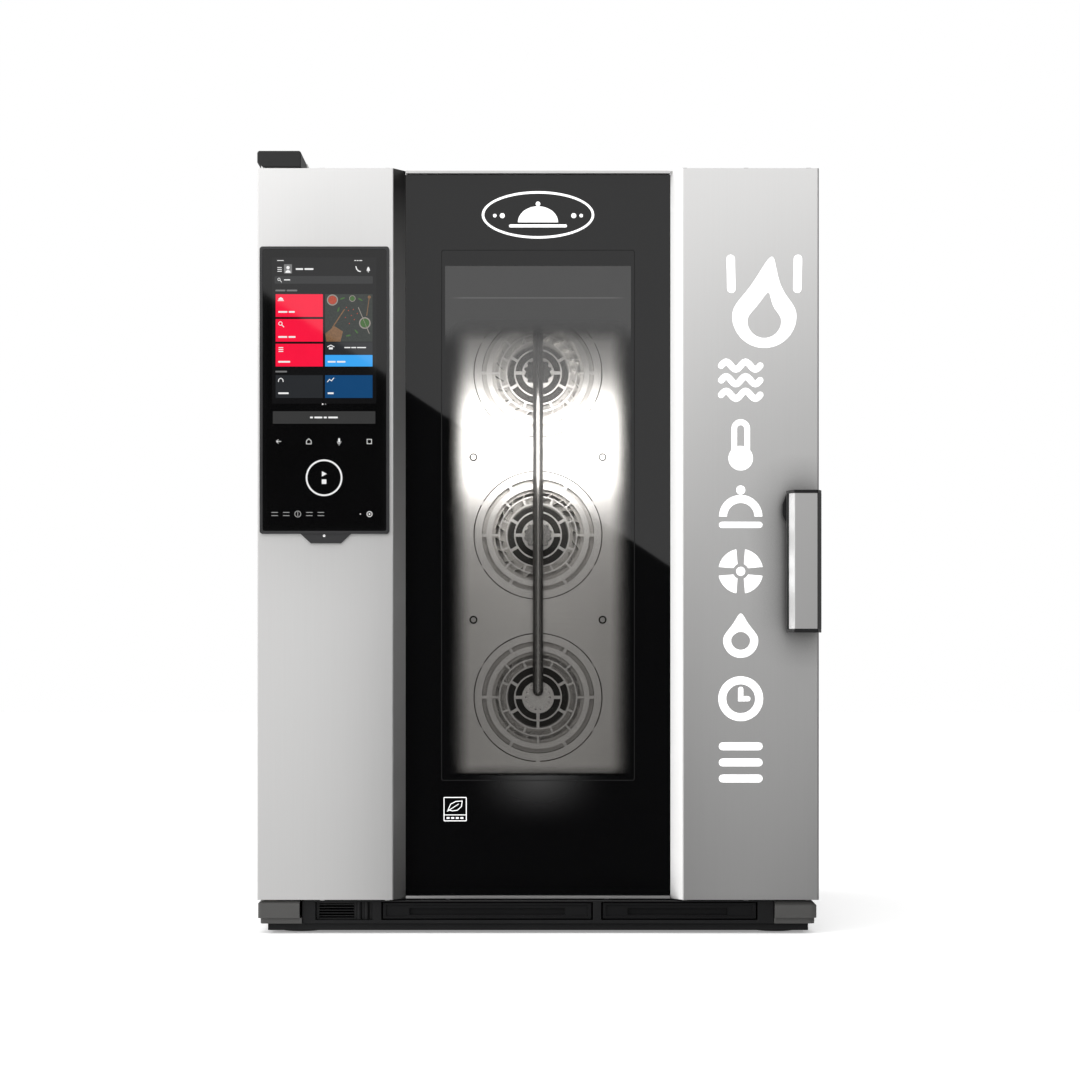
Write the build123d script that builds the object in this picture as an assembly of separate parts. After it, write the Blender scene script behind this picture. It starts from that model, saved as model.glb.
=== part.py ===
from build123d import *
import math
import os

# Tall combination oven with a side-hinged glass door, built in millimetres.
# +Z is up, the front looks along -Y, X = 0 is the centre plane, Z = 0 is the worktop.
# The door hinges are at -X and the handle is at +X.

# ---------------------------------------------------------------- driving dimensions
HALF_W = 375.0                  # half of the overall width
SHEET = 1.5
Y_DOOR, Y_DOOR_BACK = -368.0, -288.0    # front and rear planes of the door skin
Z_DOOR0, Z_DOOR1 = 45.5, 1022.0
Y_BODY, Y_REAR = -275.0, 420.5  # front plane of the body, outside of the rear panel
Z_TOP = 1023.0                  # outside of the top panel
Z_SIDE0, Z_SIDE1 = 46.0, 1021.6     # lower and upper edges of the side panels and front frame
BASE_Z0, BASE_Z1 = 4.0, 44.0
BASE_STEP_Z = 13.3              # underside of the wider upper part of the base
BAY_Z0, BAY_Z1 = 17.9, 42.0     # openings in the front of the base
FEET = [(x, y) for x in (-320, 320) for y in (-300, 350)]

CAV_X = 205.0                   # half width of the cooking chamber
CAV_Z0, CAV_Z1 = 186.0, 923.0
CAV_R = 20.0                    # corner radius of the chamber
LINER_Y0 = Y_BODY + SHEET + 0.05
Y_WALL = 327.0                  # chamber back wall
LINER_Y1 = Y_WALL - 0.02        # rear edge of the lining sheets
SEAM = 184.0                    # X of the weld between the side sheets and floor or ceiling
SEAM_GAP = 0.02
Y_GUARD = 267.0                 # front face of the fan guard
FAN_Z = (806.0, 556.0, 306.0)
GUARD_SCREWS = [(x, z) for x in (-99.4, 99.4) for z in (676.0, 425.5)]
TUBE_Y, TUBE_Z = 255.0, 992.0   # drop and top run of the water manifold

FLUE_X, FLUE_Y = 120.0, 150.0
DRAIN_Y, DRAIN_Z = 60.0, 96.0   # drain in the floor, and height of its run to the rear
VALVE_X, VALVE_Z = (-60, -110), 990.0
CABLE_X, CABLE_Z = -300.0, 110.0

HINGE_X, HINGE_Y = -352.0, -340.0   # vertical door hinge axis
PIN_R, BUSH_R = 8.0, 12.0
TOP_SCREW_Y = (-180, -235)      # upper bracket screws, on the X of the hinge axis
LOW_SCREW_X, LOW_SCREW_Z = -347.0, (62, 92)
PIVOT_X, PIVOT_Z = 349.5, 564.0     # handle spindle axis
SPINDLE_R = 9.0
GLASS_X = 177.5                 # visible half width of the door glass
BEVEL_X = 193.5                 # outer end of the panel bevel
Y_GLASS = -341.0                # front of the outer glass
HANDLE_Z0, HANDLE_Z1 = 407.0, 586.0
Y_HANDLE = -420.5

# Sections are drawn from the planes above; each finished part is then moved along Y
# so that the origin lies in the middle of the overall footprint.
Y_SHIFT = -20.9


# ---------------------------------------------------------------- helpers
def block(x0, x1, y0, y1, z0, z1):
    size = (abs(x1 - x0), abs(y1 - y0), abs(z1 - z0))
    return Pos((x0 + x1) / 2, (y0 + y1) / 2, (z0 + z1) / 2) * Box(*size)


def cyl_x(y, z, x0, x1, r):
    return Pos((x0 + x1) / 2, y, z) * Rot(0, 90, 0) * Cylinder(r, x1 - x0)


def cyl_y(x, z, y0, y1, r):
    return Pos(x, (y0 + y1) / 2, z) * Rot(90, 0, 0) * Cylinder(r, y1 - y0)


def cyl_z(x, y, z0, z1, r):
    return Pos(x, y, (z0 + z1) / 2) * Cylinder(r, z1 - z0)


def fan_cyl(y0, y1, r):
    """cylinder on the fan axis, drawn at Z = 0"""
    return cyl_y(0, 0, y0, y1, r)


def flue_cyl(z0, z1, r):
    return cyl_z(FLUE_X, FLUE_Y, z0, z1, r)


def drain_cyl(z0, z1, r):
    return cyl_z(0, DRAIN_Y, z0, z1, r)


def hinge_cyl(z0, z1, r):
    return cyl_z(HINGE_X, HINGE_Y, z0, z1, r)


def pivot_cyl(y0, y1, r):
    return cyl_y(PIVOT_X, PIVOT_Z, y0, y1, r)


def prism_z(points, z0, z1):
    face = make_face(Polyline(*[(x, y, 0) for x, y in points], close=True))
    return Pos(0, 0, z0) * extrude(face, z1 - z0, dir=(0, 0, 1))


def prism_y(points, y0, y1):
    face = make_face(Polyline(*[(x, y0, z) for x, z in points], close=True))
    return extrude(face, y1 - y0, dir=(0, 1, 0))


def round_block_y(x0, x1, z0, z1, r, y0, y1):
    """block with its edges along Y rounded"""
    body = block(x0, x1, y0, y1, z0, z1)
    return fillet(body.edges().filter_by(Axis.Y), r)


def round_block_z(x0, x1, y0, y1, r, z0, z1):
    """block with its edges along Z rounded"""
    body = block(x0, x1, y0, y1, z0, z1)
    return fillet(body.edges().filter_by(Axis.Z), r)


def chamber_block(grow, r, y0, y1):
    """rounded block of the chamber section, grown on all four sides"""
    return round_block_y(-CAV_X - grow, CAV_X + grow, CAV_Z0 - grow, CAV_Z1 + grow, r, y0, y1)


def sheet_outline(points, thickness):
    """closed outline of a bent sheet, thickened to the left of the polyline"""
    normals = []
    for (x0, y0), (x1, y1) in zip(points, points[1:]):
        length = math.hypot(x1 - x0, y1 - y0)
        normals.append(((y0 - y1) / length, (x1 - x0) / length))
    inside = []
    for (x, y), before, after in zip(points, normals[:1] + normals, normals + normals[-1:]):
        sum_x, sum_y = before[0] + after[0], before[1] + after[1]
        scale = 2 * thickness / (sum_x ** 2 + sum_y ** 2)
        inside.append((x + sum_x * scale, y + sum_y * scale))
    return points + inside[::-1]


def round_corners(shape, corners, r):
    """fillet the edges along Z that stand on the given XY corners"""
    edges = []
    for edge in shape.edges().filter_by(Axis.Z):
        c = edge.center()
        if any(math.hypot(c.X - x, c.Y - y) < 0.3 for x, y in corners):
            edges.append(edge)
    return fillet(edges, r)


def bent_bar(points, r, bend):
    path = FilletPolyline(*points, radius=bend)
    return sweep(Plane(origin=path @ 0, z_dir=path % 0) * Circle(r), path=path)


def mirror_x(shape):
    return mirror(shape, about=Plane.YZ)


def at_fans(shape):
    return [Pos(0, 0, z) * shape for z in FAN_Z]


os.makedirs("parts", exist_ok=True)


def save(name, shape):
    """shift a shape or list of shapes along Y and write it as one STEP file"""
    group = shape if isinstance(shape, (list, tuple, ShapeList)) else [shape]
    solids = [s.moved(Location((0, Y_SHIFT, 0))) for g in group for s in g.solids()]
    part = Compound(children=solids) if len(solids) > 1 else solids[0]
    part.label = name
    export_step(part, "parts/" + name + ".step")


# ================================================================ base
base = block(-370, 370, -360, 408, BASE_STEP_Z, BASE_Z1)
base += block(-361.5, 361.5, -355, 402, BASE_Z0, 13.5)
base = fillet(base.edges().filter_by(Axis.Z).filter_by(lambda e: e.center().Y > 300), 6)
for x0, x1, y1 in (
    (-209.5, 73.4, -20),        # wide drawer bay
    (84.6, 293.6, -20),         # narrow drawer bay
    (-297.6, -221.5, -80),      # air intake
):
    base -= block(x0, x1, -361, y1, BAY_Z0, BAY_Z1)
base -= block(-355, 355, 0, 395, 9, 45)                         # hollow behind the bays
base -= block(-380, -315.2, -362, -250, BASE_STEP_Z, 45)        # left corner, for its cover
base -= block(315.2, 380, -362, -250, BASE_STEP_Z, 45)          # right corner, for its cover
for x, y in FEET:
    base -= cyl_z(x, y, 3, 8.5, 5.1)
save("base_tray", base)
save("levelling_feet", [cyl_z(x, y, 0, 3.9, 26) + cyl_z(x, y, 3.5, 8.3, 5) for x, y in FEET])


def drawer(x0, x1, pull0, pull1):
    """open drawer between x0 and x1 with a finger pull between pull0 and pull1"""
    body = block(x0, x1, -357.5, -40, 19.6, 40.6)
    body -= block(x0 + 2.5, x1 - 2.5, -348, -42.5, 22, 41)
    body -= block(x0 + 4.5, x1 - 4.5, -358, -355.5, 22.6, 37.8)     # inset of the front
    body -= block(pull0, pull1, -358, -350.5, 24.5, 33.5)
    return body


save("drip_drawer", drawer(-207.5, 71.4, -172, 36))
save("detergent_drawer", drawer(86.6, 291.6, 120, 254))

GRILLE_Z0, GRILLE_Z1 = 18.1, 41.8
BAR_PITCH = 3.7
grille = block(-297, -222, -352, -346, GRILLE_Z0, GRILLE_Z1)
grille -= block(-293, -246, -353, -345, 20.5, 39.5)
for i in range(5):
    z = BAR_PITCH * i
    grille += block(-294, -245, -352, -346.5, 22.3 + z, 23.7 + z)
for x in (-239.5, -229.5):
    grille += cyl_z(x, -351, GRILLE_Z0, GRILLE_Z1, 3.8)
save("intake_grille", grille)

# ================================================================ body shell
save("bottom_panel", block(-372, 372, -272, 418, 44.2, 45.7) - drain_cyl(40, 50, 24))

LOUVRE_PITCH = 12
side = block(HALF_W - 1.2, HALF_W, Y_BODY, Y_REAR, Z_SIDE0, Z_SIDE1)
side += block(360, 374, Y_BODY + 6, Y_REAR - 6, Z_SIDE0, Z_SIDE0 + 1.2)     # lower flange
side += block(362, 374, Y_REAR - 3.2, Y_REAR - 2, 60, 1000)                 # rear flange
for k in range(14):
    z = k * LOUVRE_PITCH
    side -= block(372, 377, 250, 370, 110 + z, 114 + z)
    side += block(372.4, 373.9, 250, 370, 109 + z, 110.2 + z)
save("right_side_panel", side)
save("left_side_panel", mirror_x(side))

top = block(-HALF_W, HALF_W, Y_BODY + 0.2, Y_REAR, Z_TOP - 1.2, Z_TOP)
top -= flue_cyl(1000, 1040, 31)
rear_lip = block(-373.5, 373.5, 417.6, 418.8, 1006, 1021.78)    # stiffens the rear edge
save("top_panel", [top, rear_lip])

VENT_PITCH = 16
rear = block(-373.6, 373.6, Y_REAR - 1.2, Y_REAR, 46.2, Z_SIDE1)
for k in range(12):
    z = k * VENT_PITCH
    for x0, x1 in ((-300, -200), (200, 300)):
        rear -= block(x0, x1, 415, 425, 640 + z, 645 + z)
rear -= cyl_y(0, DRAIN_Z, 415, 425, 21)
for x in VALVE_X:
    rear -= cyl_y(x, VALVE_Z, 415, 425, 12.5)
rear -= cyl_y(CABLE_X, CABLE_Z, 415, 425, 13)
save("rear_panel", rear)

front = block(-373.6, 373.6, Y_BODY, Y_BODY + SHEET, Z_SIDE0, Z_SIDE1)
front -= chamber_block(0, CAV_R, Y_BODY - 1, Y_BODY + 3)
front -= block(318, 371, Y_BODY - 1, Y_BODY + 3, 536, 604)      # opening at the latch
save("front_frame", front)

# ================================================================ heater terminals
# Each fan has two heating rings; their legs pass through the chamber back wall.
HEAT_R = 103.5
HEAT_Y = (289.0, 303.0)
HEAT_ANGLES = ((222, 234), (306, 318))      # leg angles in degrees, per ring
HEAT_LEGS = [
    [(HEAT_R * math.cos(math.radians(a)), HEAT_R * math.sin(math.radians(a))) for a in pair]
    for pair in HEAT_ANGLES
]


def fan_openings(y0, y1, shaft_r, leg_r):
    """cutters for the shaft and heater legs of all fans"""
    cutters = []
    for fan_z in FAN_Z:
        cutters.append(cyl_y(0, fan_z, y0, y1, shaft_r))
        for x, z in HEAT_LEGS[0] + HEAT_LEGS[1]:
            cutters.append(cyl_y(x, fan_z + z, y0, y1, leg_r))
    return cutters


# ================================================================ cooking chamber
# lining: side sheets with the rounded corners, floor, ceiling and back
lining = chamber_block(SHEET, CAV_R + SHEET, LINER_Y0, LINER_Y1)
lining -= chamber_block(0, CAV_R, LINER_Y0 - 1, Y_WALL + 1)
half_span = (LINER_Y0 - 1, Y_WALL + 1, CAV_Z0 - 5, CAV_Z1 + 5)
right_sheet = lining & block(SEAM, CAV_X + 5, *half_span)
left_sheet = lining & block(-CAV_X - 5, -SEAM, *half_span)
flat_x = SEAM - SEAM_GAP
floor_sheet = block(-flat_x, flat_x, LINER_Y0, LINER_Y1, CAV_Z0 - SHEET, CAV_Z0)
ceiling = block(-flat_x, flat_x, LINER_Y0, LINER_Y1, CAV_Z1, CAV_Z1 + SHEET)
back = chamber_block(SHEET, CAV_R + SHEET, Y_WALL, Y_WALL + SHEET)
back = back.cut(*fan_openings(Y_WALL - 2, Y_WALL + 4, 18, 5))
ceiling -= cyl_z(0, TUBE_Y, CAV_Z1 - 3, CAV_Z1 + 5, 8.4)
ceiling -= flue_cyl(CAV_Z1 - 3, CAV_Z1 + 5, 30.5)
floor_sheet -= drain_cyl(CAV_Z0 - 5, CAV_Z0 + 3, 22.5)
for x, z in GUARD_SCREWS:               # welded posts that carry the fan guard
    post = cyl_y(x, z, Y_GUARD + 2.05, Y_WALL + 0.5, 7)
    back += post - cyl_y(x, z, Y_GUARD, Y_GUARD + 16, 3.05)
for y in (-200, 190):                   # welded pegs that locate the tray racks
    for z in (260, 860):
        right_sheet += cyl_x(y, z, 199.1, CAV_X + 0.5, 5)
        left_sheet += cyl_x(y, z, -CAV_X - 0.5, -199.1, 5)
save("cavity_liner", [left_sheet, right_sheet, floor_sheet, ceiling, back])

jacket = block(-250, 250, LINER_Y0 + 3, 346, 141, 968)
jacket -= chamber_block(SHEET + 0.5, 22, LINER_Y0, Y_WALL + SHEET + 0.5)
jacket = jacket.cut(
    *fan_openings(Y_WALL - 2, 350, 20, 6),
    cyl_z(0, TUBE_Y, 900, 980, 9.5),
    flue_cyl(900, 980, 31),
    drain_cyl(130, 200, 24),
)
save("insulation_jacket", jacket)

GASKET_Y = Y_BODY - 9.2
gasket = round_block_y(-227, 227, 164, 945, 40, GASKET_Y, Y_BODY)
gasket -= round_block_y(-211, 211, 180, 929, 25, Y_BODY - 10, Y_BODY + 1)
gasket = fillet([e for e in gasket.edges() if abs(e.center().Y - GASKET_Y) < 0.01], 3.5)
save("door_gasket", gasket)

# ---------------------------------------------------------------- fan guard
GUARD_X = 182.0
GUARD_T = 2.0
# inner radius, outer radius, bridge count, angle of the first bridge, bridge width
SLOT_RINGS = [
    (97.9, 99.3, 6, 30, 7),
    (79.4, 86.3, 6, 0, 5),
    (60.6, 70.9, 8, 0, 3.2),
    (49.6, 58.4, 8, 22.5, 3.2),
    (37.0, 47.4, 6, 30, 4.5),
    (24.7, 34.7, 4, 0, 5),
]
HOLE_COUNT, HOLE_RING_R, HOLE_R = 14, 17.6, 2.1

guard_z = (CAV_Z0 + 3, CAV_Z1 - 3)
guard = block(-GUARD_X, GUARD_X, Y_GUARD, Y_GUARD + GUARD_T, *guard_z)
guard += block(-GUARD_X, -GUARD_X + GUARD_T, Y_GUARD, Y_GUARD + 26, *guard_z)
guard += block(GUARD_X - GUARD_T, GUARD_X, Y_GUARD, Y_GUARD + 26, *guard_z)
pattern = []
for inner, outer, count, first, width in SLOT_RINGS:
    ring = Circle(outer) - Circle(inner)
    for k in range(count):
        bridge = Pos((inner + outer) / 2, 0) * Rectangle(outer - inner + 6, width)
        ring -= Rot(0, 0, first + k * 360 / count) * bridge
    pattern += list(ring.faces())
for k in range(HOLE_COUNT):
    angle = 2 * math.pi * k / HOLE_COUNT
    hole = Pos(HOLE_RING_R * math.cos(angle), HOLE_RING_R * math.sin(angle)) * Circle(HOLE_R)
    pattern += list(hole.faces())
slots = [solid for face in pattern for solid in extrude(face, 8).solids()]
cutters = [Pos(0, Y_GUARD + 5, z) * Rot(90, 0, 0) * slot for z in FAN_Z for slot in slots]
cutters += [cyl_y(x, z, Y_GUARD - 2, Y_GUARD + 4, 3.2) for x, z in GUARD_SCREWS]
save("fan_guard", guard.cut(*cutters))

CROSS_L, CROSS_W = 4.6, 0.8             # half length and half width of the cross recess
screws = []
for x, z in GUARD_SCREWS:
    screw = cyl_y(x, z, Y_GUARD - 4.2, Y_GUARD - 0.05, 6.2)
    screw += cyl_y(x, z, Y_GUARD - 0.5, Y_GUARD + 14, 3.0)
    for dx, dz in ((CROSS_L, CROSS_W), (CROSS_W, CROSS_L)):
        screw -= block(x - dx, x + dx, Y_GUARD - 5, Y_GUARD - 2.4, z - dz, z + dz)
    screws.append(screw)
save("guard_screws", screws)

# water manifold: tube hanging in front of the guard, fed from the roof
TUBE_R, TUBE_END_Z = 8.0, 316
SPLASH_Y = (258.5, 263.5)
tube_path = [(0, TUBE_Y, TUBE_END_Z), (0, TUBE_Y, TUBE_Z), (0, 384, TUBE_Z)]
tube = bent_bar(tube_path, TUBE_R, 22)
tube += Pos(0, TUBE_Y, TUBE_END_Z) * Sphere(TUBE_R)
for z in FAN_Z[:2] + (322.0,):
    tube += cyl_y(0, z, TUBE_Y, Y_GUARD - 0.6, 3.2)
for z in FAN_Z[:2]:                     # toothed splash discs that throw water into the fans
    disc = cyl_y(0, z, *SPLASH_Y, 18.5)
    for k in range(12):
        angle = math.radians(15 + 30 * k)
        disc += cyl_y(18.6 * math.cos(angle), z + 18.6 * math.sin(angle), *SPLASH_Y, 3.0)
    tube += disc
save("water_manifold_tube", tube)

# heating rings, open by 12 degrees between their legs
heaters = []
for fan_z in FAN_Z:
    for ring_y, legs, angles in zip(HEAT_Y, HEAT_LEGS, HEAT_ANGLES):
        section_face = Plane(origin=(HEAT_R, 0, 0), z_dir=(0, 1, 0)) * Circle(4.0)
        arc = revolve(section_face, Axis.Z, 348)
        heater = Pos(0, ring_y, fan_z) * Rot(90, 0, 0) * Rot(0, 0, angles[1]) * arc
        for x, z in legs:
            heater += cyl_y(x, fan_z + z, ring_y - 4.8, 356, 4.75)
        heaters.append(heater)
save("heating_elements", heaters)

# ---------------------------------------------------------------- fans, drawn at Z = 0
SHAFT_R, SHAFT_END_Y = 6.0, 410
IMPELLER_R = 86
impeller = fan_cyl(318, 320, IMPELLER_R)                            # back disc
impeller += fan_cyl(282, 284, IMPELLER_R) - fan_cyl(281, 285, 66)   # front ring
impeller += fan_cyl(292, 320, 15)                                   # hub
blade = Pos(68, 301, 0) * Rot(0, 32, 0) * Box(34, 36, 1.6)
impeller = impeller.fuse(*[Rot(0, k * 18, 0) * blade for k in range(20)])
impeller -= fan_cyl(260, 340, SHAFT_R + 0.02)

shaft = fan_cyl(282, SHAFT_END_Y, SHAFT_R)
shaft += fan_cyl(364, 398, 36)                                      # rotor
nut = Pos(0, 287.8, 0) * Rot(90, 0, 0) * extrude(RegularPolygon(9.5, 6), 4, both=True)
star = Circle(21.0)
for k in range(18):
    star -= Rot(0, 0, k * 20) * Pos(21.0, 0) * Rectangle(5.0, 2.6)
shaft += nut + Pos(0, 281, 0) * Rot(90, 0, 0) * extrude(star, 1.2, both=True)

motor = fan_cyl(354, SHAFT_END_Y, 47)
motor -= fan_cyl(358, 404, 39)
motor += block(-54, 54, 352, 356, -54, 54)                          # square flange
for k in range(16):                                                 # cooling ribs
    motor += Rot(0, k * 22.5, 0) * block(46, 51, 360, 404, -1.2, 1.2)
motor -= fan_cyl(340, 420, SHAFT_R + 0.05)
motor = motor.solids().sort_by(SortBy.VOLUME)[-1]

seal = fan_cyl(326, 344, 17.8) + fan_cyl(323.9, 326.9, 24)
seal -= fan_cyl(315, 355, SHAFT_R + 0.08)

for level, z in zip(("top", "middle", "bottom"), FAN_Z):
    save("fan_impeller_" + level, Pos(0, 0, z) * impeller)
    save("motor_shaft_" + level, Pos(0, 0, z) * shaft)
save("fan_motors", at_fans(motor))
save("shaft_seals", at_fans(seal))
motor_plate = block(-130, 130, 348, 351.8, 170, 940)
save("motor_plate", motor_plate.cut(*fan_openings(345, 355, 12, 6)))

# ---------------------------------------------------------------- tray racks
RACK_X = 196
RAIL_REACH, RAIL_PITCH, RAIL_COUNT = 33, 67, 10
rack = block(-3, 3, -254, -246, 192, 912)
rack += block(-3, 3, 232, 240, 192, 912)
rack += block(-3, 3, -4, 4, 192, 912)
rail_path = [(0, -250, 0), (-RAIL_REACH, -250, 0), (-RAIL_REACH, 236, 0), (0, 236, 0)]
rail = bent_bar(rail_path, 3.0, 10)
levels = [RAIL_PITCH * k for k in range(RAIL_COUNT)]
rails = [Pos(0, 0, 222 + z) * rail for z in levels]
rails += [block(-RAIL_REACH, 0, -2, 2, 220 + z, 222.5 + z) for z in levels]
right_rack = Pos(RACK_X, 0, 0) * rack.fuse(*rails)
save("tray_rack_right", right_rack)
save("tray_rack_left", mirror_x(right_rack))

# ================================================================ services
strainer = drain_cyl(CAV_Z0 + 0.1, CAV_Z0 + 1.6, 27)
for k in range(10):
    angle = 2 * math.pi * k / 10
    x, y = 15 * math.cos(angle), DRAIN_Y + 15 * math.sin(angle)
    strainer -= cyl_z(x, y, CAV_Z0 - 2, CAV_Z0 + 4, 2.6)
strainer += drain_cyl(CAV_Z0 - 8, CAV_Z0 + 0.5, 3)
save("drain_strainer", strainer)


def drain_bar(z_top, y_end, r):
    return bent_bar([(0, DRAIN_Y, z_top), (0, DRAIN_Y, DRAIN_Z), (0, y_end, DRAIN_Z)], r, 26)


drain = drain_bar(CAV_Z0 - 2, 430, 19)
drain += cyl_y(0, DRAIN_Z, 424, 446, 20)
save("drain_pipe", drain - drain_bar(CAV_Z0 + 1, 450, 16.5))

# flue: a plain pipe, the collar that an adapter clamps on, and the flange on the roof
FLUE_TOP, FLUE_R = 1069, 29
collar_bore = flue_cyl(1000, 1080, FLUE_R + 0.02)
flue = flue_cyl(CAV_Z1 + SHEET + 0.2, FLUE_TOP, FLUE_R) - flue_cyl(900, 1080, FLUE_R - 2)
collar = flue_cyl(Z_TOP + 3.12, FLUE_TOP, FLUE_R + 1) - collar_bore
flange = flue_cyl(Z_TOP + 0.1, Z_TOP + 3.1, 46) - collar_bore
save("exhaust_chimney", [flue, collar, flange])

valves = []
for x in VALVE_X:
    valve = cyl_y(x, VALVE_Z, 386, 440, 12) + block(x - 16, x + 16, 372, 402, 972, 1008)
    valve += cyl_y(x, VALVE_Z, 424, 436, 14)
    valve -= cyl_y(x, VALVE_Z, 404, 445, 8)
    valves.append(valve)
# branch from the first valve to the rear end of the manifold
branch = cyl_x(395, TUBE_Z, -46, -8, 6) + block(-9, 16, 384.3, 408, 980, 1004)
valves[0] += branch - cyl_y(0, TUBE_Z, 384, 396, 5)
save("water_inlet_valves", valves)

gland = cyl_y(CABLE_X, CABLE_Z, 405, 436, 12.8)
gland += cyl_y(CABLE_X, CABLE_Z, Y_REAR + 0.2, 427, 18)
gland -= cyl_y(CABLE_X, CABLE_Z, 400, 440, 8.2)
cable_path = [(CABLE_X, 330, CABLE_Z), (CABLE_X, 455, CABLE_Z), (CABLE_X, 455, 30)]
save("power_cable", [gland, bent_bar(cable_path, 8.0, 16)])


def electronics_box(x0, x1):
    body = block(x0, x1, -110, 170, 300, 640)
    body -= block(x0 + 2, x1 - 2, -108, 168, 302, 638)
    for k in range(10):                 # vent slots
        body -= block(x0 - 1, x1 + 1, -80 + k * 24, -72 + k * 24, 600, 628)
    return body


save("electronics_boxes", [electronics_box(262, 366), electronics_box(-366, -262)])

# ================================================================ hinges
LOW_PLATE_Z0, LOW_PLATE_Z1 = 38, 43.8
upper = round_block_z(-370.8, -319.8, -362, -150, 8, Z_TOP + 0.1, Z_TOP + 5)
# upright XZ plate with a slanting right edge
upright = [(-372, Z_TOP + 0.2), (-305.6, Z_TOP + 0.2), (-315.9, 1044.5), (-372, 1044.5)]
upper += prism_y(upright, -262, -258)
upper += block(-340, -336, -258, -160, 1027, 1040)
upper -= hinge_cyl(1015, 1040, PIN_R + 0.02)
for y in TOP_SCREW_Y:
    upper -= cyl_z(HINGE_X, y, 1015, 1040, 3.3)
lower = round_block_z(-371.5, -322, -362, -276, 8, LOW_PLATE_Z0, LOW_PLATE_Z1)
lower += block(-371.5, -322, -279.2, Y_BODY - 0.05, LOW_PLATE_Z0, 110)
lower -= hinge_cyl(30, 60, PIN_R + 0.02)
for z in LOW_SCREW_Z:
    lower -= cyl_y(LOW_SCREW_X, z, -285, -270, 3.3)
save("hinge_brackets", [upper, lower])

upper_pin = hinge_cyl(1000, 1029.5, PIN_R) + hinge_cyl(Z_TOP + 5.1, 1033, 12)
lower_pin = hinge_cyl(35, 67, PIN_R) + hinge_cyl(33, LOW_PLATE_Z0 - 0.1, 12)
save("hinge_pins", [upper_pin, lower_pin])

screws = []
for y in TOP_SCREW_Y:
    shank = cyl_z(HINGE_X, y, Z_TOP + 0.2, Z_TOP + 5, 3.2)
    screws.append(shank + cyl_z(HINGE_X, y, Z_TOP + 5.05, Z_TOP + 9, 5.5))
for z in LOW_SCREW_Z:
    head = cyl_y(LOW_SCREW_X, z, -281.6, -279.25, 5.5)
    screws.append(head + cyl_y(LOW_SCREW_X, z, -279.5, -275.2, 3.2))
save("hinge_screws", screws)

# ---------------------------------------------------------------- corner covers
COVER_Y = -367.5
cover = block(-374.9, -316.3, COVER_Y, -262.3, Z_TOP + 0.2, 1045.5)
cover = fillet(cover.edges().filter_by(Axis.Y).filter_by(lambda e: e.center().Z > 1040), 3.5)
cover = fillet(cover.edges().filter_by(lambda e: abs(e.center().Y - COVER_Y) < 0.1), 2.0)
cover -= prism_y([(-376, 1022), (-366.5, 1022), (-366.5, 1023), (-376, 1031)], -370, -260)
cover -= block(-371.5, -319.0, -364.5, -260, 1020, 1042.6)
save("top_hinge_cover", cover.solids().sort_by(SortBy.VOLUME)[-1])


def round_and_bevel(body, side, y, z, r, bevel):
    """round the outer front corner (side is the sign of X), bevel the edge at y, z"""
    upright_edges = body.edges().filter_by(Axis.Z)
    body = fillet(
        upright_edges.filter_by(lambda e: e.center().Y < -360 and side * e.center().X > 350), r
    )
    rim = [e for e in body.edges()
           if abs(e.center().Z - z) < 0.05 and abs(e.center().Y - y) < 0.1]
    return chamfer(rim, bevel)


cover = block(-374, -318.4, -367.2, -262, 21, 43.9) + block(-371, -315.6, -363.5, -262, 13.5, 21.2)
cover = round_and_bevel(cover, -1, -367.2, 43.9, 5, 3.2)
cover -= block(-371.8, -321.2, -364, -261, 24, 45)
cover -= block(-368, -318.5, -361, -261, 16, 24.5)
save("bottom_hinge_cover", cover)

cover = block(316.2, 372.5, -366.5, -252, 21.2, 43.4) + block(315.6, 370, -362.5, -252, 13.5, 21.4)
cover = round_and_bevel(cover, 1, -366.5, 43.4, 9, 5.5)
cover -= block(319, 369, -357, -251, 16, 40)
save("bottom_right_cover", cover)

# ================================================================ latch keeper on the body
keeper = block(312, 373.2, Y_BODY + 1.6, Y_BODY + 5.6, 520, 612)
keeper -= pivot_cyl(Y_BODY - 1, Y_BODY + 8, 14.5)
slot = Pos(-15.5, 0, 0) * Box(31, 12, 15)
keeper -= Pos(PIVOT_X, Y_BODY + 3, PIVOT_Z) * Rot(0, 45, 0) * slot
for z in (526, 606):
    for x in (320, 364):
        keeper -= cyl_y(x, z, Y_BODY, Y_BODY + 8, 2.2)
save("latch_keeper", keeper)

# ================================================================ door
LID_INSET, LID_T = 1.4, 1.2
# XY line of the right panel: glass edge, bevel, front, outer side, rear return
skin_line = [
    (GLASS_X + 0.3, -342.2), (BEVEL_X, Y_DOOR), (HALF_W, Y_DOOR),
    (HALF_W, Y_DOOR_BACK), (352, Y_DOOR_BACK),
]
lid = [
    (GLASS_X + 2.0, -341.6), (BEVEL_X + 0.9, Y_DOOR + LID_INSET),
    (HALF_W - LID_INSET, Y_DOOR + LID_INSET), (HALF_W - LID_INSET, Y_DOOR_BACK - LID_INSET),
    (GLASS_X + 2.0, Y_DOOR_BACK - LID_INSET),
]
skin = prism_z(sheet_outline(skin_line, SHEET), Z_DOOR0, Z_DOOR1)
skin = round_corners(skin, skin_line[1:4], 2.2)
skin += prism_z(lid, Z_DOOR0, Z_DOOR0 + LID_T)
skin += prism_z(lid, Z_DOOR1 - LID_T, Z_DOOR1)


def with_tabs(panel, places):
    """small tabs on the upper and lower ends of a door panel"""
    for x in places:
        for z0, z1 in ((Z_DOOR1 - 0.3, Z_DOOR1 + 0.8), (Z_DOOR0 - 0.9, Z_DOOR0 + 0.3)):
            panel += block(x - 3, x + 3, Y_DOOR + 2, Y_DOOR + 10, z0, z1)
    return panel


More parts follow.
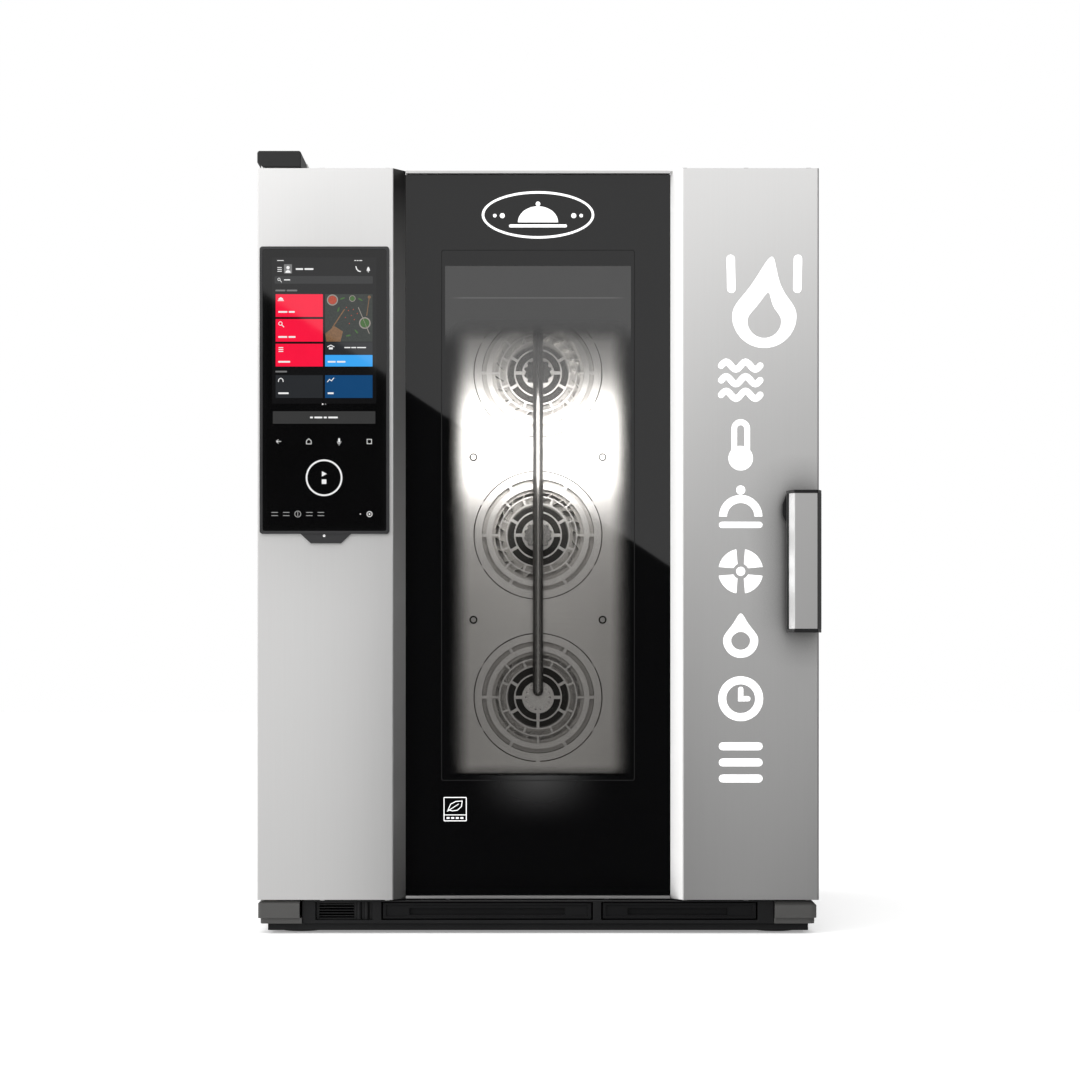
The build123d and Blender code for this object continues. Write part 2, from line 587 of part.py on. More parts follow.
save("right_door_panel", with_tabs(skin, (196, 278, 361)) - pivot_cyl(-372, -280, 14.2))
left_skin = with_tabs(mirror_x(skin), (-201, -288))
left_skin -= block(-360.5, -207.5, -372, -360, 546.5, 905.5)    # display opening
left_skin -= hinge_cyl(1015, 1025, 13.2)
left_skin -= hinge_cyl(44, 50, 13.2)
save("left_door_panel", left_skin)

FRAME_X = 371.5
FRAME_Y0, FRAME_Y1 = -334.0, -290.0
pocket_y = (FRAME_Y0 - 1, FRAME_Y1 - 2)
frame = block(-FRAME_X, FRAME_X, FRAME_Y0, FRAME_Y1, 54, 1012)
frame -= block(-194, 194, FRAME_Y0 - 1, FRAME_Y1 + 1, 81, 985)
for x0, x1, z0, z1 in (                 # pockets open to the front
    (-369.5, -196, 83.5, 982.5),
    (196, 369.5, 83.5, 982.5),
    (-320, 369.5, 56, 79),
    (-320, 369.5, 987, 1010),
):
    frame -= block(x0, x1, *pocket_y, z0, z1)
# hinge blocks carry the bushes
frame += block(-369.5, -333, -358, FRAME_Y1, 47.2, 80.5)
frame += block(-369.5, -333, -358, FRAME_Y1, 985.5, 1020.2)
frame -= hinge_cyl(44, 72, BUSH_R + 0.02)
frame -= hinge_cyl(995, 1022, BUSH_R + 0.02)
frame += pivot_cyl(-350, FRAME_Y1, 22)
frame -= pivot_cyl(-372, FRAME_Y1 + 2, 14.05)
save("door_frame", frame)

lower_bush = hinge_cyl(44.5, 70, BUSH_R) - hinge_cyl(40, 80, PIN_R + 0.05)
upper_bush = hinge_cyl(997, 1022.6, BUSH_R) - hinge_cyl(990, 1030, PIN_R + 0.05)
handle_bush = pivot_cyl(-369.0, -287, 14.0) + pivot_cyl(-371.8, -368.05, 20)
handle_bush -= pivot_cyl(-380, -280, SPINDLE_R + 0.05)
save("door_bushes", [lower_bush, upper_bush, handle_bush])

save("outer_door_glass", round_block_y(-191.5, 191.5, 50.4, 1017.2, 3, Y_GLASS, Y_GLASS + 6))
save("inner_door_glass", round_block_y(-234, 234, 154, 956, 6, -289.7, -284.6))

trim_x, trim_in_x = GLASS_X - 0.3, GLASS_X - 1.5
upper_trim = block(-trim_x, trim_x, -349, -288.4, 1018.2, 1021.6)
upper_trim -= block(-trim_in_x, trim_in_x, -333, -289.8, 1012, 1020.4)
lower_trim = block(-trim_x, trim_x, -349, -288.4, 45.7, 49.3)
lower_trim -= block(-trim_in_x, trim_in_x, -333, -289.8, 46.9, 52)
for x in (-121, 92):
    lower_trim += block(x - 3, x + 3, -347, -340, 44.8, 46.2)
save("glass_profiles", [upper_trim, lower_trim])

holders = []
for z in (200, 900):                    # hinges at -X
    leaf = block(-250, -234.2, -289.9, -284.8, z - 22, z + 22)
    holders.append(leaf + cyl_z(-246, -287, z - 22, z + 22, 3.0))
for z in (300, 800):                    # clips at +X
    holders.append(block(234.2, 252, -289.9, -284.8, z - 12, z + 12))
save("inner_glass_hinges_and_clips", holders)

light = block(170, 193.8, -326, -300, 200, 900) - block(168, 190, -323, -303, 202, 898)
diffuser = block(169, 171.8, -322.9, -303.1, 202.2, 897.8)
save("led_light_bars", [mirror_x(light), light, mirror_x(diffuser), diffuser])

gutter = block(-232, 232, -289.8, -279.6, 140, 141.5)
gutter += block(-232, 232, -281.1, -279.6, 140, 149)
gutter += block(-232, 232, -289.9, -288.4, 126, 150)
save("door_drip_gutter", gutter)

# ---------------------------------------------------------------- display
DISPLAY_Z0, DISPLAY_Z1 = 533.8, 916.8
bezel = round_block_y(-371.0, -198.2, DISPLAY_Z0, DISPLAY_Z1, 4, Y_DOOR - 6, Y_DOOR - 0.05)
chin_z = (DISPLAY_Z0 + 1, 521.2)        # tapered chin under the bezel
chin = [(-317.6, chin_z[0]), (-302.9, chin_z[1]), (-262.9, chin_z[1]), (-248.2, chin_z[0])]
bezel += prism_y(chin, Y_DOOR - 5, Y_DOOR - 0.05)
bezel -= round_block_y(-367.1, -202.0, 537.6, 913.0, 2.5, Y_DOOR - 7, Y_DOOR - 3.4)
bezel -= block(-358, -210, -373, -367, 549, 903)
save("display_frame", bezel)
screen = round_block_y(-366.9, -202.2, 537.8, 912.8, 2.4, Y_DOOR - 5.7, Y_DOOR - 3.45)
save("display_glass", screen)
housing = block(-357.8, -210.2, -371.3, -337, 549.2, 902.8)
housing -= block(-355.8, -212.2, -369.3, -336, 551.2, 900.8)
board = block(-352, -216, -356, -352.5, 560, 892) + block(-320, -260, -352.6, -345, 640, 800)
save("display_electronics", [housing, board])

# ================================================================ handle
grip_z = (HANDLE_Z0, HANDLE_Z1)
face_line = [(332.0, -404.0), (338.2, Y_HANDLE), (368.8, Y_HANDLE), (HALF_W, -404.0)]
handle_face = prism_z(sheet_outline(face_line, 1.4), *grip_z)
save("handle_face", round_corners(handle_face, face_line[1:3], 0.9))

core = prism_z([(336.0, -403.0), (340.6, -418.0), (366.4, -418.0), (371.0, -403.0)], *grip_z)
core += round_block_z(329.4, 374.6, -403.2, -389, 3.0, *grip_z)
core += pivot_cyl(-389.2, -372.2, 25.0)
# XZ outline of the wedge behind the grip
core += prism_y([(329.6, 586), (329.6, 506), (337, 520), (324.6, 556), (324.6, 572)], -389.2, -378)
core -= pivot_cyl(-386, -371, SPINDLE_R + 0.02)
save("handle_core", core)

cap_outline = [
    (331.6, -403.0), (337.7, -421.2), (369.0, -421.2),
    (HALF_W, -403.0), (HALF_W, -389.4), (329.2, -389.4),
]
caps = []
for z0, z1 in ((HANDLE_Z1 + 0.05, 590.2), (402.2, HANDLE_Z0 - 0.05)):
    cap = prism_z(cap_outline, z0, z1)
    caps.append(fillet(cap.edges().filter_by(Axis.Z), 1.5))
save("handle_caps", caps)

save("handle_spindle", pivot_cyl(-385.9, -257, SPINDLE_R))
hook = pivot_cyl(-267, -261, 13)
hook += block(PIVOT_X - 28, PIVOT_X, -267, -261, PIVOT_Z - 5.8, PIVOT_Z + 5.8)
tip_edges = [e for e in hook.edges().filter_by(Axis.Y) if e.center().X < PIVOT_X - 25]
hook = fillet(tip_edges, 3)
hook -= pivot_cyl(-270, -258, SPINDLE_R + 0.02)
save("latch_hook", hook)
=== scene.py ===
# A professional oven with a glazed door, dressed on its CAD pieces.
# Metres. X runs to the right seen from the front, the front faces -Y, Z is up
# and the floor is at z = 0. The screen is on the left of the door, the white signs on the right.
import math

import bmesh
import bpy
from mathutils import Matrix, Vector

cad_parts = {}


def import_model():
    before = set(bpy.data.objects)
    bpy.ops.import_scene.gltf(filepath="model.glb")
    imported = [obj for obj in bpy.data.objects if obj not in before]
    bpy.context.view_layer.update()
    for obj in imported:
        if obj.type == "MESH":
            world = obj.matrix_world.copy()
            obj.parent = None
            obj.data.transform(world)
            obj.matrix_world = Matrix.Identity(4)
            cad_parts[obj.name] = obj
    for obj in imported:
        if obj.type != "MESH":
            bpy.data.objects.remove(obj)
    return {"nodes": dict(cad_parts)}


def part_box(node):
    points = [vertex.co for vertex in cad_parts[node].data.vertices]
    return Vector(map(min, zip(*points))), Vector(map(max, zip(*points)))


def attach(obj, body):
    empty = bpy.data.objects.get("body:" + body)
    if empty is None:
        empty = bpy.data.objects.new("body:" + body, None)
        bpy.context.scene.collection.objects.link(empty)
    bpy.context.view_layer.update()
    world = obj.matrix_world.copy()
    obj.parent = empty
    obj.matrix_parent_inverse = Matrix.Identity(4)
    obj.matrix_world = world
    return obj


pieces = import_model()["nodes"]
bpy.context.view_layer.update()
scene = bpy.context.scene

guard_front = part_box("fan_guard")[0].y


# ---------------------------------------------------------------- shader nodes
class ShaderTree:
    """Short calls that build the node tree of a material or a world."""

    def __init__(self, owner, output_kind="ShaderNodeOutputMaterial"):
        owner.use_nodes = True
        self.owner = owner
        self.nodes = owner.node_tree.nodes
        self.links = owner.node_tree.links
        self.nodes.clear()
        self.output = self.add(output_kind)

    def finish(self, shader):
        self.links.new(shader.outputs[0], self.output.inputs["Surface"])
        return self.owner

    def add(self, kind, **settings):
        node = self.nodes.new(kind)
        for key, value in settings.items():
            setattr(node, key, value)
        return node

    def put(self, socket, value):
        """Link a socket to the input, or set a plain value on it."""
        if isinstance(value, bpy.types.NodeSocket):
            self.links.new(value, socket)
        else:
            socket.default_value = value

    def math(self, operation, first, second=None, clamp=False):
        node = self.add("ShaderNodeMath", operation=operation, use_clamp=clamp)
        self.put(node.inputs[0], first)
        if second is not None:
            self.put(node.inputs[1], second)
        return node.outputs[0]

    def plus(self, first, second):
        return self.math("ADD", first, second)

    def minus(self, first, second):
        return self.math("SUBTRACT", first, second)

    def times(self, first, second):
        return self.math("MULTIPLY", first, second)

    def size(self, value):
        return self.math("ABSOLUTE", value)

    def vary(self, base, pattern, amount):
        """base + pattern * amount"""
        return self.plus(base, self.times(pattern, amount))

    def mix(self, factor, first, second, blend="MIX"):
        node = self.add("ShaderNodeMix", data_type="RGBA", blend_type=blend)
        self.put(node.inputs[0], factor)
        self.put(node.inputs[6], first)
        self.put(node.inputs[7], second)
        return node.outputs[2]

    def shade(self, colour, shading):
        return self.mix(1.0, colour, shading, "MULTIPLY")

    def mix_shaders(self, factor, first, second):
        node = self.add("ShaderNodeMixShader")
        self.put(node.inputs[0], factor)
        self.put(node.inputs[1], first.outputs[0])
        self.put(node.inputs[2], second.outputs[0])
        return node

    def ramp(self, factor, stops):
        """Colour ramp; stops are (position, colour or grey level)."""
        node = self.add("ShaderNodeValToRGB")
        elements = node.color_ramp.elements
        while len(elements) < len(stops):
            elements.new(0.5)
        for element, (position, colour) in zip(elements, stops):
            element.position = position
            element.color = colour if isinstance(colour, tuple) else grey(colour)
        self.put(node.inputs[0], factor)
        return node.outputs[0]

    def map_range(self, value, start, end, low, high, smooth=False):
        """Goes from low at start to high at end, and is held level outside."""
        kind = "SMOOTHSTEP" if smooth else "LINEAR"
        node = self.add("ShaderNodeMapRange", interpolation_type=kind, clamp=True)
        self.put(node.inputs["Value"], value)
        node.inputs["From Min"].default_value = start
        node.inputs["From Max"].default_value = end
        node.inputs["To Min"].default_value = low
        node.inputs["To Max"].default_value = high
        return node.outputs[0]

    def rise(self, value, start, end, smooth=False):
        return self.map_range(value, start, end, low=0.0, high=1.0, smooth=smooth)

    def fall(self, value, start, end, smooth=False):
        return self.map_range(value, start, end, low=1.0, high=0.0, smooth=smooth)

    def coords(self):
        return self.add("ShaderNodeTexCoord").outputs["Object"]

    def axes(self, vector):
        node = self.add("ShaderNodeSeparateXYZ")
        self.put(node.inputs[0], vector)
        return node.outputs[0], node.outputs[1], node.outputs[2]

    def combine(self, channels):
        node = self.add("ShaderNodeCombineColor")
        for socket, channel in zip(node.inputs, channels):
            self.put(socket, channel)
        return node.outputs[0]

    def mapping(self, vector, scale=(1, 1, 1), rotation=(0, 0, 0)):
        node = self.add("ShaderNodeMapping")
        self.put(node.inputs["Vector"], vector)
        node.inputs["Scale"].default_value = scale
        node.inputs["Rotation"].default_value = rotation
        return node.outputs[0]

    def noise(self, vector, scale=1.0, detail=2.0, roughness=0.5, distortion=0.0):
        node = self.add("ShaderNodeTexNoise")
        self.put(node.inputs["Vector"], vector)
        node.inputs["Scale"].default_value = scale
        node.inputs["Detail"].default_value = detail
        node.inputs["Roughness"].default_value = roughness
        node.inputs["Distortion"].default_value = distortion
        return node.outputs[0]

    def soft_edges(self, radius):
        node = self.add("ShaderNodeBevel", samples=3)
        node.inputs["Radius"].default_value = radius
        return node.outputs[0]

    def bump(self, height, strength, distance, normal=None):
        node = self.add("ShaderNodeBump")
        node.inputs["Strength"].default_value = strength
        node.inputs["Distance"].default_value = distance
        self.put(node.inputs["Height"], height)
        if normal is not None:
            self.put(node.inputs["Normal"], normal)
        return node.outputs[0]

    def principled(self, base, roughness, normal=None, metallic=0.0):
        node = self.add("ShaderNodeBsdfPrincipled")
        self.put(node.inputs["Base Color"], base)
        self.put(node.inputs["Metallic"], metallic)
        self.put(node.inputs["Roughness"], roughness)
        if normal is not None:
            self.put(node.inputs["Normal"], normal)
        return node

    def glow(self, shader, colour, strength):
        self.put(shader.inputs["Emission Color"], colour)
        self.put(shader.inputs["Emission Strength"], strength)


def new_material(name):
    return ShaderTree(bpy.data.materials.new(name))


def rgb(red, green, blue):
    return (red, green, blue, 1.0)


def grey(level):
    return rgb(level, level, level)


# ---------------------------------------------------------------- brushed steel
# Noise scales along x, y, z of the fine and the wide streaks, by grain direction.
GRAIN = {
    "X": ((14, 1500, 1500), (3, 380, 380)),
    "Z": ((1500, 1500, 14), (380, 380, 3)),
}


def heat_tint_and_painted_shade(tree, coords, colour, start_y):
    """Painted shade behind start_y: a darker, dull, brown sheet for the shade behind the fan
    guard, browned as heat tint.
    """
    _, y, _ = tree.axes(coords)
    in_painted_shade = tree.rise(y, start=start_y, end=start_y + 0.004)
    blotch = tree.noise(coords, scale=30.0, detail=4.0, roughness=0.6)
    shaded_brown = tree.mix(blotch, rgb(0.105, 0.095, 0.085), rgb(0.20, 0.185, 0.17))
    return tree.mix(in_painted_shade, colour, shaded_brown)


def painted_edge_tone(tree, coords, colour, roughness, painted_edge):
    """Painted highlight, reflection and shade on edges: another tone, metallic and roughness
    beyond start_x, or else on the edges beside the glass.
    """
    x, _, z = tree.axes(coords)
    if "start_x" in painted_edge:
        inside = tree.rise(x, start=painted_edge["start_x"], end=painted_edge["start_x"] + 0.0004)
    else:
        inside = tree.fall(tree.size(x), start=0.1927, end=0.1934)
    tone = painted_edge["tone"]
    painted_edge_colour = rgb(tone, tone * 0.995, tone * 0.985)
    if "shading" in painted_edge:
        painted_edge_colour = tree.shade(painted_edge_colour, tree.ramp(z, painted_edge["shading"]))
    colour = tree.mix(inside, colour, painted_edge_colour)
    metallic = tree.minus(1.0, tree.times(inside, 1.0 - painted_edge["metallic"]))
    outside_part = tree.times(roughness, tree.minus(1.0, inside))
    return colour, metallic, tree.vary(outside_part, inside, painted_edge["roughness"])


def painted_highlight_strip(tree, coords, colour, end_x, tone):
    """Painted highlight: a bright strip on the low side of end_x."""
    x, _, _ = tree.axes(coords)
    return tree.mix(tree.fall(x, start=end_x - 0.0003, end=end_x), colour, grey(tone))


def axis_rings(tree, coords, colour, x, heights, radius, stops):
    """Tones by distance from axes along y; an off-centre x counts on both sides."""
    across, _, up = tree.axes(coords)
    if x:
        across = tree.size(across)

    def squared_offset(value, centre):
        return tree.math("POWER", tree.size(tree.minus(value, centre)), 2.0)

    x_squared = squared_offset(across, x)
    nearest = None
    for height in heights:
        z_squared = squared_offset(up, height)
        distance = tree.math("SQRT", tree.plus(x_squared, z_squared))
        nearest = distance if nearest is None else tree.math("MINIMUM", nearest, distance)
    share = tree.math("DIVIDE", nearest, radius, clamp=True)
    return tree.shade(colour, tree.ramp(share, stops))


def painted_contact_shadow(tree, colour, reach, dark_at, darkest):
    """Painted shadow: soft darkening, from ambient occlusion, around whatever stands off the
    sheet.
    """
    occlusion = tree.add("ShaderNodeAmbientOcclusion", samples=8)
    occlusion.inputs["Distance"].default_value = reach
    level = tree.map_range(occlusion.outputs["AO"], dark_at, 0.98, low=darkest, high=1.0)
    return tree.shade(colour, tree.combine([level] * 3))


def brushed(name, tone, roughness, grain, contrast, anisotropy, tint=(1.0, 0.992, 0.98),
            smudge=0.05, bump=0.12, soft_edges=True, painted_shade_from_y=None, painted_edge=None, highlight_strip=None,
            rings=None, contact_shadow=None):
    """Satin metal: fine streaks along one axis and faint larger clouds."""
    tree = new_material(name)
    coords = tree.coords()
    fine_scale, wide_scale = GRAIN[grain]
    fine = tree.noise(tree.mapping(coords, fine_scale), detail=3.0, roughness=0.62)
    wide = tree.noise(tree.mapping(coords, wide_scale))
    cloud = tree.noise(coords, scale=3.2, detail=3.0, roughness=0.55)
    # The fine streaks weigh 0.6 and the wide ones 0.4.
    streak = tree.vary(tree.times(fine, 0.6), wide, 0.4)
    # Brightness: streaks around 1, then the clouds.
    value = tree.vary(1.0, tree.minus(streak, 0.5), contrast * 2.0)
    value = tree.times(value, tree.vary(1.0 - smudge * 0.5, cloud, smudge))
    colour = tree.combine([tree.times(value, tone * share) for share in tint])
    # Streaks and clouds both roughen the sheet a little.
    unevenness = tree.vary(tree.times(streak, 0.10), cloud, smudge * 0.6)
    roughness = tree.plus(roughness - 0.03, unevenness)
    normal = tree.soft_edges(radius=0.0006) if soft_edges else None
    normal = tree.bump(streak, bump, distance=0.00004, normal=normal)
    metallic = 1.0
    if painted_shade_from_y is not None:
        colour = heat_tint_and_painted_shade(tree, coords, colour, painted_shade_from_y)
    if painted_edge:
        colour, metallic, roughness = painted_edge_tone(tree, coords, colour, roughness, painted_edge)
    if highlight_strip:
        colour = painted_highlight_strip(tree, coords, colour, **highlight_strip)
    if rings:
        colour = axis_rings(tree, coords, colour, **rings)
    if contact_shadow:
        colour = painted_contact_shadow(tree, colour, **contact_shadow)
    shader = tree.principled(colour, roughness, normal, metallic)
    shader.inputs["Anisotropic"].default_value = anisotropy
    tangent = tree.add("ShaderNodeTangent", direction_type="RADIAL", axis="Z")
    tree.put(shader.inputs["Tangent"], tangent.outputs[0])
    shader.inputs["Anisotropic Rotation"].default_value = 0.25 if grain == "Z" else 0.0
    return tree.finish(shader)


# ---------------------------------------------------------------- other materials
def plastic(name, colour, roughness, bump=0.18, specular=0.5):
    """Moulded plastic with a fine texture and paler clouds."""
    tree = new_material(name)
    coords = tree.coords()
    grain = tree.noise(coords, scale=2600.0, roughness=0.6)
    cloud = tree.noise(coords, scale=9.0, detail=3.0, roughness=0.6)
    paler = rgb(*[min(1, x * 1.5 + 0.004) for x in colour])
    base = tree.mix(tree.times(cloud, 0.5), rgb(*colour), paler)
    normal = tree.soft_edges(radius=0.0008)
    # Clouds and grain both roughen the surface a little.
    unevenness = tree.vary(tree.times(cloud, 0.1), grain, 0.05)
    roughness = tree.plus(roughness - 0.06, unevenness)
    normal = tree.bump(grain, bump, distance=0.0001, normal=normal)
    shader = tree.principled(base, roughness, normal)
    shader.inputs["Specular IOR Level"].default_value = specular
    return tree.finish(shader)


def dusty_rubber(name, level):
    tree = new_material(name)
    coords = tree.coords()
    grain = tree.noise(coords, scale=900, detail=3.0, roughness=0.6)
    dust = tree.noise(coords, scale=24, detail=4.0, roughness=0.6)
    base = tree.mix(tree.times(dust, 0.35), grey(level), grey(level + 0.03))
    roughness = tree.vary(base=0.62, pattern=grain, amount=0.15)
    normal = tree.bump(grain, strength=0.2, distance=0.0002)
    return tree.finish(tree.principled(base, roughness, normal))


def matted_wool(name):
    tree = new_material(name)
    stretched = tree.mapping(tree.coords(), scale=(60, 260, 60))
    fibres = tree.noise(stretched, detail=5.0, roughness=0.7, distortion=1.2)
    base = tree.ramp(fibres, [(0.25, rgb(0.45, 0.38, 0.22)), (0.75, rgb(0.85, 0.78, 0.58))])
    normal = tree.bump(fibres, strength=0.8, distance=0.003)
    return tree.finish(tree.principled(base, roughness=0.9, normal=normal))


def heated_metal(name):
    tree = new_material(name)
    coords = tree.coords()
    patches = tree.noise(coords, scale=22, detail=4.0, roughness=0.6)
    base = tree.ramp(patches, [
        (0.3, rgb(0.16, 0.14, 0.13)), (0.55, rgb(0.34, 0.29, 0.25)), (0.8, rgb(0.22, 0.20, 0.24)),
    ])
    fine = tree.noise(coords, scale=1400)
    roughness = tree.vary(base=0.38, pattern=patches, amount=0.2)
    normal = tree.bump(fine, strength=0.2, distance=0.0001)
    return tree.finish(tree.principled(base, roughness, normal, metallic=1.0))


def grainy_bronze(name):
    tree = new_material(name)
    grain = tree.noise(tree.coords(), scale=1800, detail=3.0, roughness=0.7)
    base = tree.mix(grain, rgb(0.50, 0.33, 0.15), rgb(0.62, 0.45, 0.24))
    roughness = tree.vary(base=0.35, pattern=grain, amount=0.2)
    normal = tree.bump(grain, strength=0.3, distance=0.0002)
    return tree.finish(tree.principled(base, roughness, normal, metallic=1.0))


def circuit_board(name):
    tree = new_material(name)
    coords = tree.coords()
    tracks = tree.add("ShaderNodeTexBrick")
    turned = tree.mapping(coords, rotation=(math.pi / 2, 0, 0))
    tree.put(tracks.inputs["Vector"], turned)
    tracks.inputs["Scale"].default_value = 90
    tracks.inputs["Color1"].default_value = rgb(0.02, 0.14, 0.07)
    tracks.inputs["Color2"].default_value = rgb(0.03, 0.18, 0.09)
    tracks.inputs["Mortar"].default_value = rgb(0.10, 0.28, 0.14)
    tracks.inputs["Mortar Size"].default_value = 0.02
    grain = tree.noise(coords, scale=700)
    roughness = tree.vary(base=0.35, pattern=grain, amount=0.1)
    normal = tree.bump(grain, strength=0.1, distance=0.0001)
    return tree.finish(tree.principled(tracks.outputs[0], roughness, normal))


def window_opening(tree, x, z, bottom):
    """How far the clear middle of the window opens: it fades towards the sides and the foot, and
    nearly shuts at the head, where painted shade stands in for the shaded chamber roof.
    """
    off_centre = tree.size(tree.minus(x, 0.0030))
    sides = tree.fall(off_centre, start=0.092, end=0.129, smooth=True)
    foot = tree.rise(z, start=bottom - 0.0155, end=bottom + 0.0165, smooth=True)
    head = tree.map_range(z, start=0.792, end=0.826, low=1.0, high=0.06, smooth=True)
    opening = tree.times(tree.times(sides, foot), head)
    return tree.math("MAXIMUM", opening, 0.03)


def window_painted_shade(tree, colour, side, z, across, upright, bottom):
    """Grey over the head of the window, painted shade for the shaded chamber roof, with a thin
    painted highlight line in it, and a paler grey under its foot.
    """
    head_rise = tree.rise(z, start=0.782, end=0.818, smooth=True)
    head = tree.times(across, tree.times(head_rise, upright))
    light_line_offset = tree.size(tree.minus(z, 0.8520))
    light_line = tree.times(tree.fall(light_line_offset, start=0.0004, end=0.0011),
                      tree.fall(side, start=0.100, end=0.118))
    foot = tree.times(tree.fall(side, start=0.0, end=0.115, smooth=True),
                      tree.rise(z, start=bottom - 0.085, end=bottom + 0.004, smooth=True))
    foot = tree.times(foot, tree.fall(z, start=bottom, end=bottom + 0.003))
    colour = tree.mix(head, colour, grey(0.040))
    colour = tree.mix(light_line, colour, grey(0.085))
    return tree.mix(tree.times(foot, foot), colour, grey(0.040))


def window_glass(name, half_width, bottom, top, clarity, print_and_shade):
    """Black border around a clear, softly mirroring middle; on the outer glass the flag also
    fades the middle towards its edges and paints shade and a highlight line at its head.
    """
    edge = 0.0006  # width over which the border starts
    tree = new_material(name)
    coords = tree.coords()
    x, _, z = tree.axes(coords)
    side = tree.size(x)
    across = tree.fall(side, start=half_width, end=half_width + edge)
    upright = tree.times(tree.rise(z, start=bottom - edge, end=bottom),
                         tree.fall(z, start=top, end=top + edge))
    clear = tree.times(across, upright)
    if print_and_shade:
        clear = tree.times(clear, window_opening(tree, x, z, bottom))
    clear = tree.times(clear, clarity)
    smear = tree.noise(coords, scale=6.0, detail=4.0, roughness=0.6)
    fine = tree.noise(coords, scale=240.0)
    mirror = tree.add("ShaderNodeBsdfGlossy")
    mirror.inputs["Color"].default_value = grey(1)
    mirror_roughness = tree.vary(base=0.012, pattern=smear, amount=0.02)
    tree.put(mirror.inputs["Roughness"], mirror_roughness)
    colour = rgb(0.0022, 0.0022, 0.0024)
    if print_and_shade:
        colour = window_painted_shade(tree, colour, side, z, across, upright, bottom)
    roughness = tree.vary(base=0.02, pattern=smear, amount=0.03)
    normal = tree.bump(fine, strength=0.01, distance=0.00002)
    border = tree.principled(colour, roughness, normal)
    border.inputs["Specular IOR Level"].default_value = 0.0
    pane = tree.add("ShaderNodeBsdfTransparent")
    pane.inputs["Color"].default_value = rgb(0.985, 0.982, 0.978)
    body = tree.mix_shaders(clear, border, pane)
    fresnel = tree.add("ShaderNodeFresnel")
    fresnel.inputs["IOR"].default_value = 1.5
    return tree.finish(tree.mix_shaders(fresnel.outputs[0], body, mirror))


def gloss_black(name):
    tree = new_material(name)
    coords = tree.coords()
    smear = tree.noise(coords, scale=14.0, detail=4.0, roughness=0.6)
    fine = tree.noise(coords, scale=300.0)
    level = 0.0016
    darker = rgb(level, level, level * 1.05)
    paler = rgb(level * 1.6, level * 1.6, level * 1.7)
    base = tree.mix(smear, darker, paler)
    roughness = tree.vary(base=0.03, pattern=smear, amount=0.02)
    normal = tree.bump(fine, strength=0.01, distance=0.00002)
    return tree.finish(tree.principled(base, roughness, normal))


def lit(name, colour, variation=0.04, scale=60.0):
    """A lit patch of the screen."""
    tree = new_material(name)
    mottle = tree.noise(tree.coords(), scale=scale)
    dimmer = rgb(*[x * (1 - variation) for x in colour])
    brighter = rgb(*[min(1, x * (1 + variation)) for x in colour])
    light = tree.mix(mottle, dimmer, brighter)
    roughness = tree.vary(base=0.03, pattern=mottle, amount=0.02)
    shader = tree.principled(grey(0.002), roughness)
    tree.glow(shader, light, strength=1.0)
    return tree.finish(shader)


def paint(name, level, roughness, glow=0.0):
    tree = new_material(name)
    coords = tree.coords()
    cloud = tree.noise(coords, scale=40.0, detail=3.0)
    fine = tree.noise(coords, scale=1500.0)
    base = tree.mix(cloud, grey(level * 0.97), grey(level))
    roughness = tree.vary(roughness, cloud, amount=0.08)
    normal = tree.bump(fine, strength=0.05, distance=0.00005)
    shader = tree.principled(base, roughness, normal)
    if glow:
        tree.glow(shader, base, glow)
    return tree.finish(shader)


def glowing_diffuser(name, colour, strength):
    tree = new_material(name)
    mottle = tree.noise(tree.mapping(tree.coords(), scale=(200, 200, 120)))
    roughness = tree.vary(base=0.35, pattern=mottle, amount=0.1)
    shader = tree.principled(rgb(0.85, 0.85, 0.82), roughness)
    level = tree.times(strength, tree.vary(base=0.9, pattern=mottle, amount=0.2))
    tree.glow(shader, rgb(*colour), level)
    return tree.finish(shader)


# ---------------------------------------------------------------- finishes of the CAD pieces
DOOR_STEEL = dict(grain="Z", contrast=0.030, anisotropy=0.35, tint=(1.0, 0.994, 0.985),
                  smudge=0.03, bump=0.06)
SMOOTH_STEEL = dict(grain="Z", contrast=0.03, anisotropy=0.2, smudge=0.04, bump=0.04)

# Painted reflection on the left skin's folded edge: its tone by height, (z, tone).
LEFT_EDGE_PAINTED_REFLECTION = [
    (0.05, 0.42), (0.114, 0.60), (0.25, 0.80), (0.448, 0.92), (0.59, 0.72), (0.72, 0.52),
    (0.848, 0.50), (0.888, 0.44), (0.928, 0.36), (0.955, 0.27), (0.982, 0.17), (1.01, 0.10),
]
# Rings around the guard screws and the fan axes; stops are (share of radius, tone). The dark
# middle of the fan rings is painted shade on the impeller hubs.
SCREW_RINGS = dict(x=0.0994, heights=(0.676, 0.4255), radius=0.0070,
                   stops=[(0.0, 1.0), (0.52, 1.0), (0.62, 0.04), (1.0, 0.04)])
FAN_HUB_SHADE_RINGS = dict(x=0.0, heights=(0.806, 0.556, 0.306), radius=0.100,
                 stops=[(0.0, 0.08), (0.46, 0.08), (0.50, 0.60), (1.0, 0.66)])

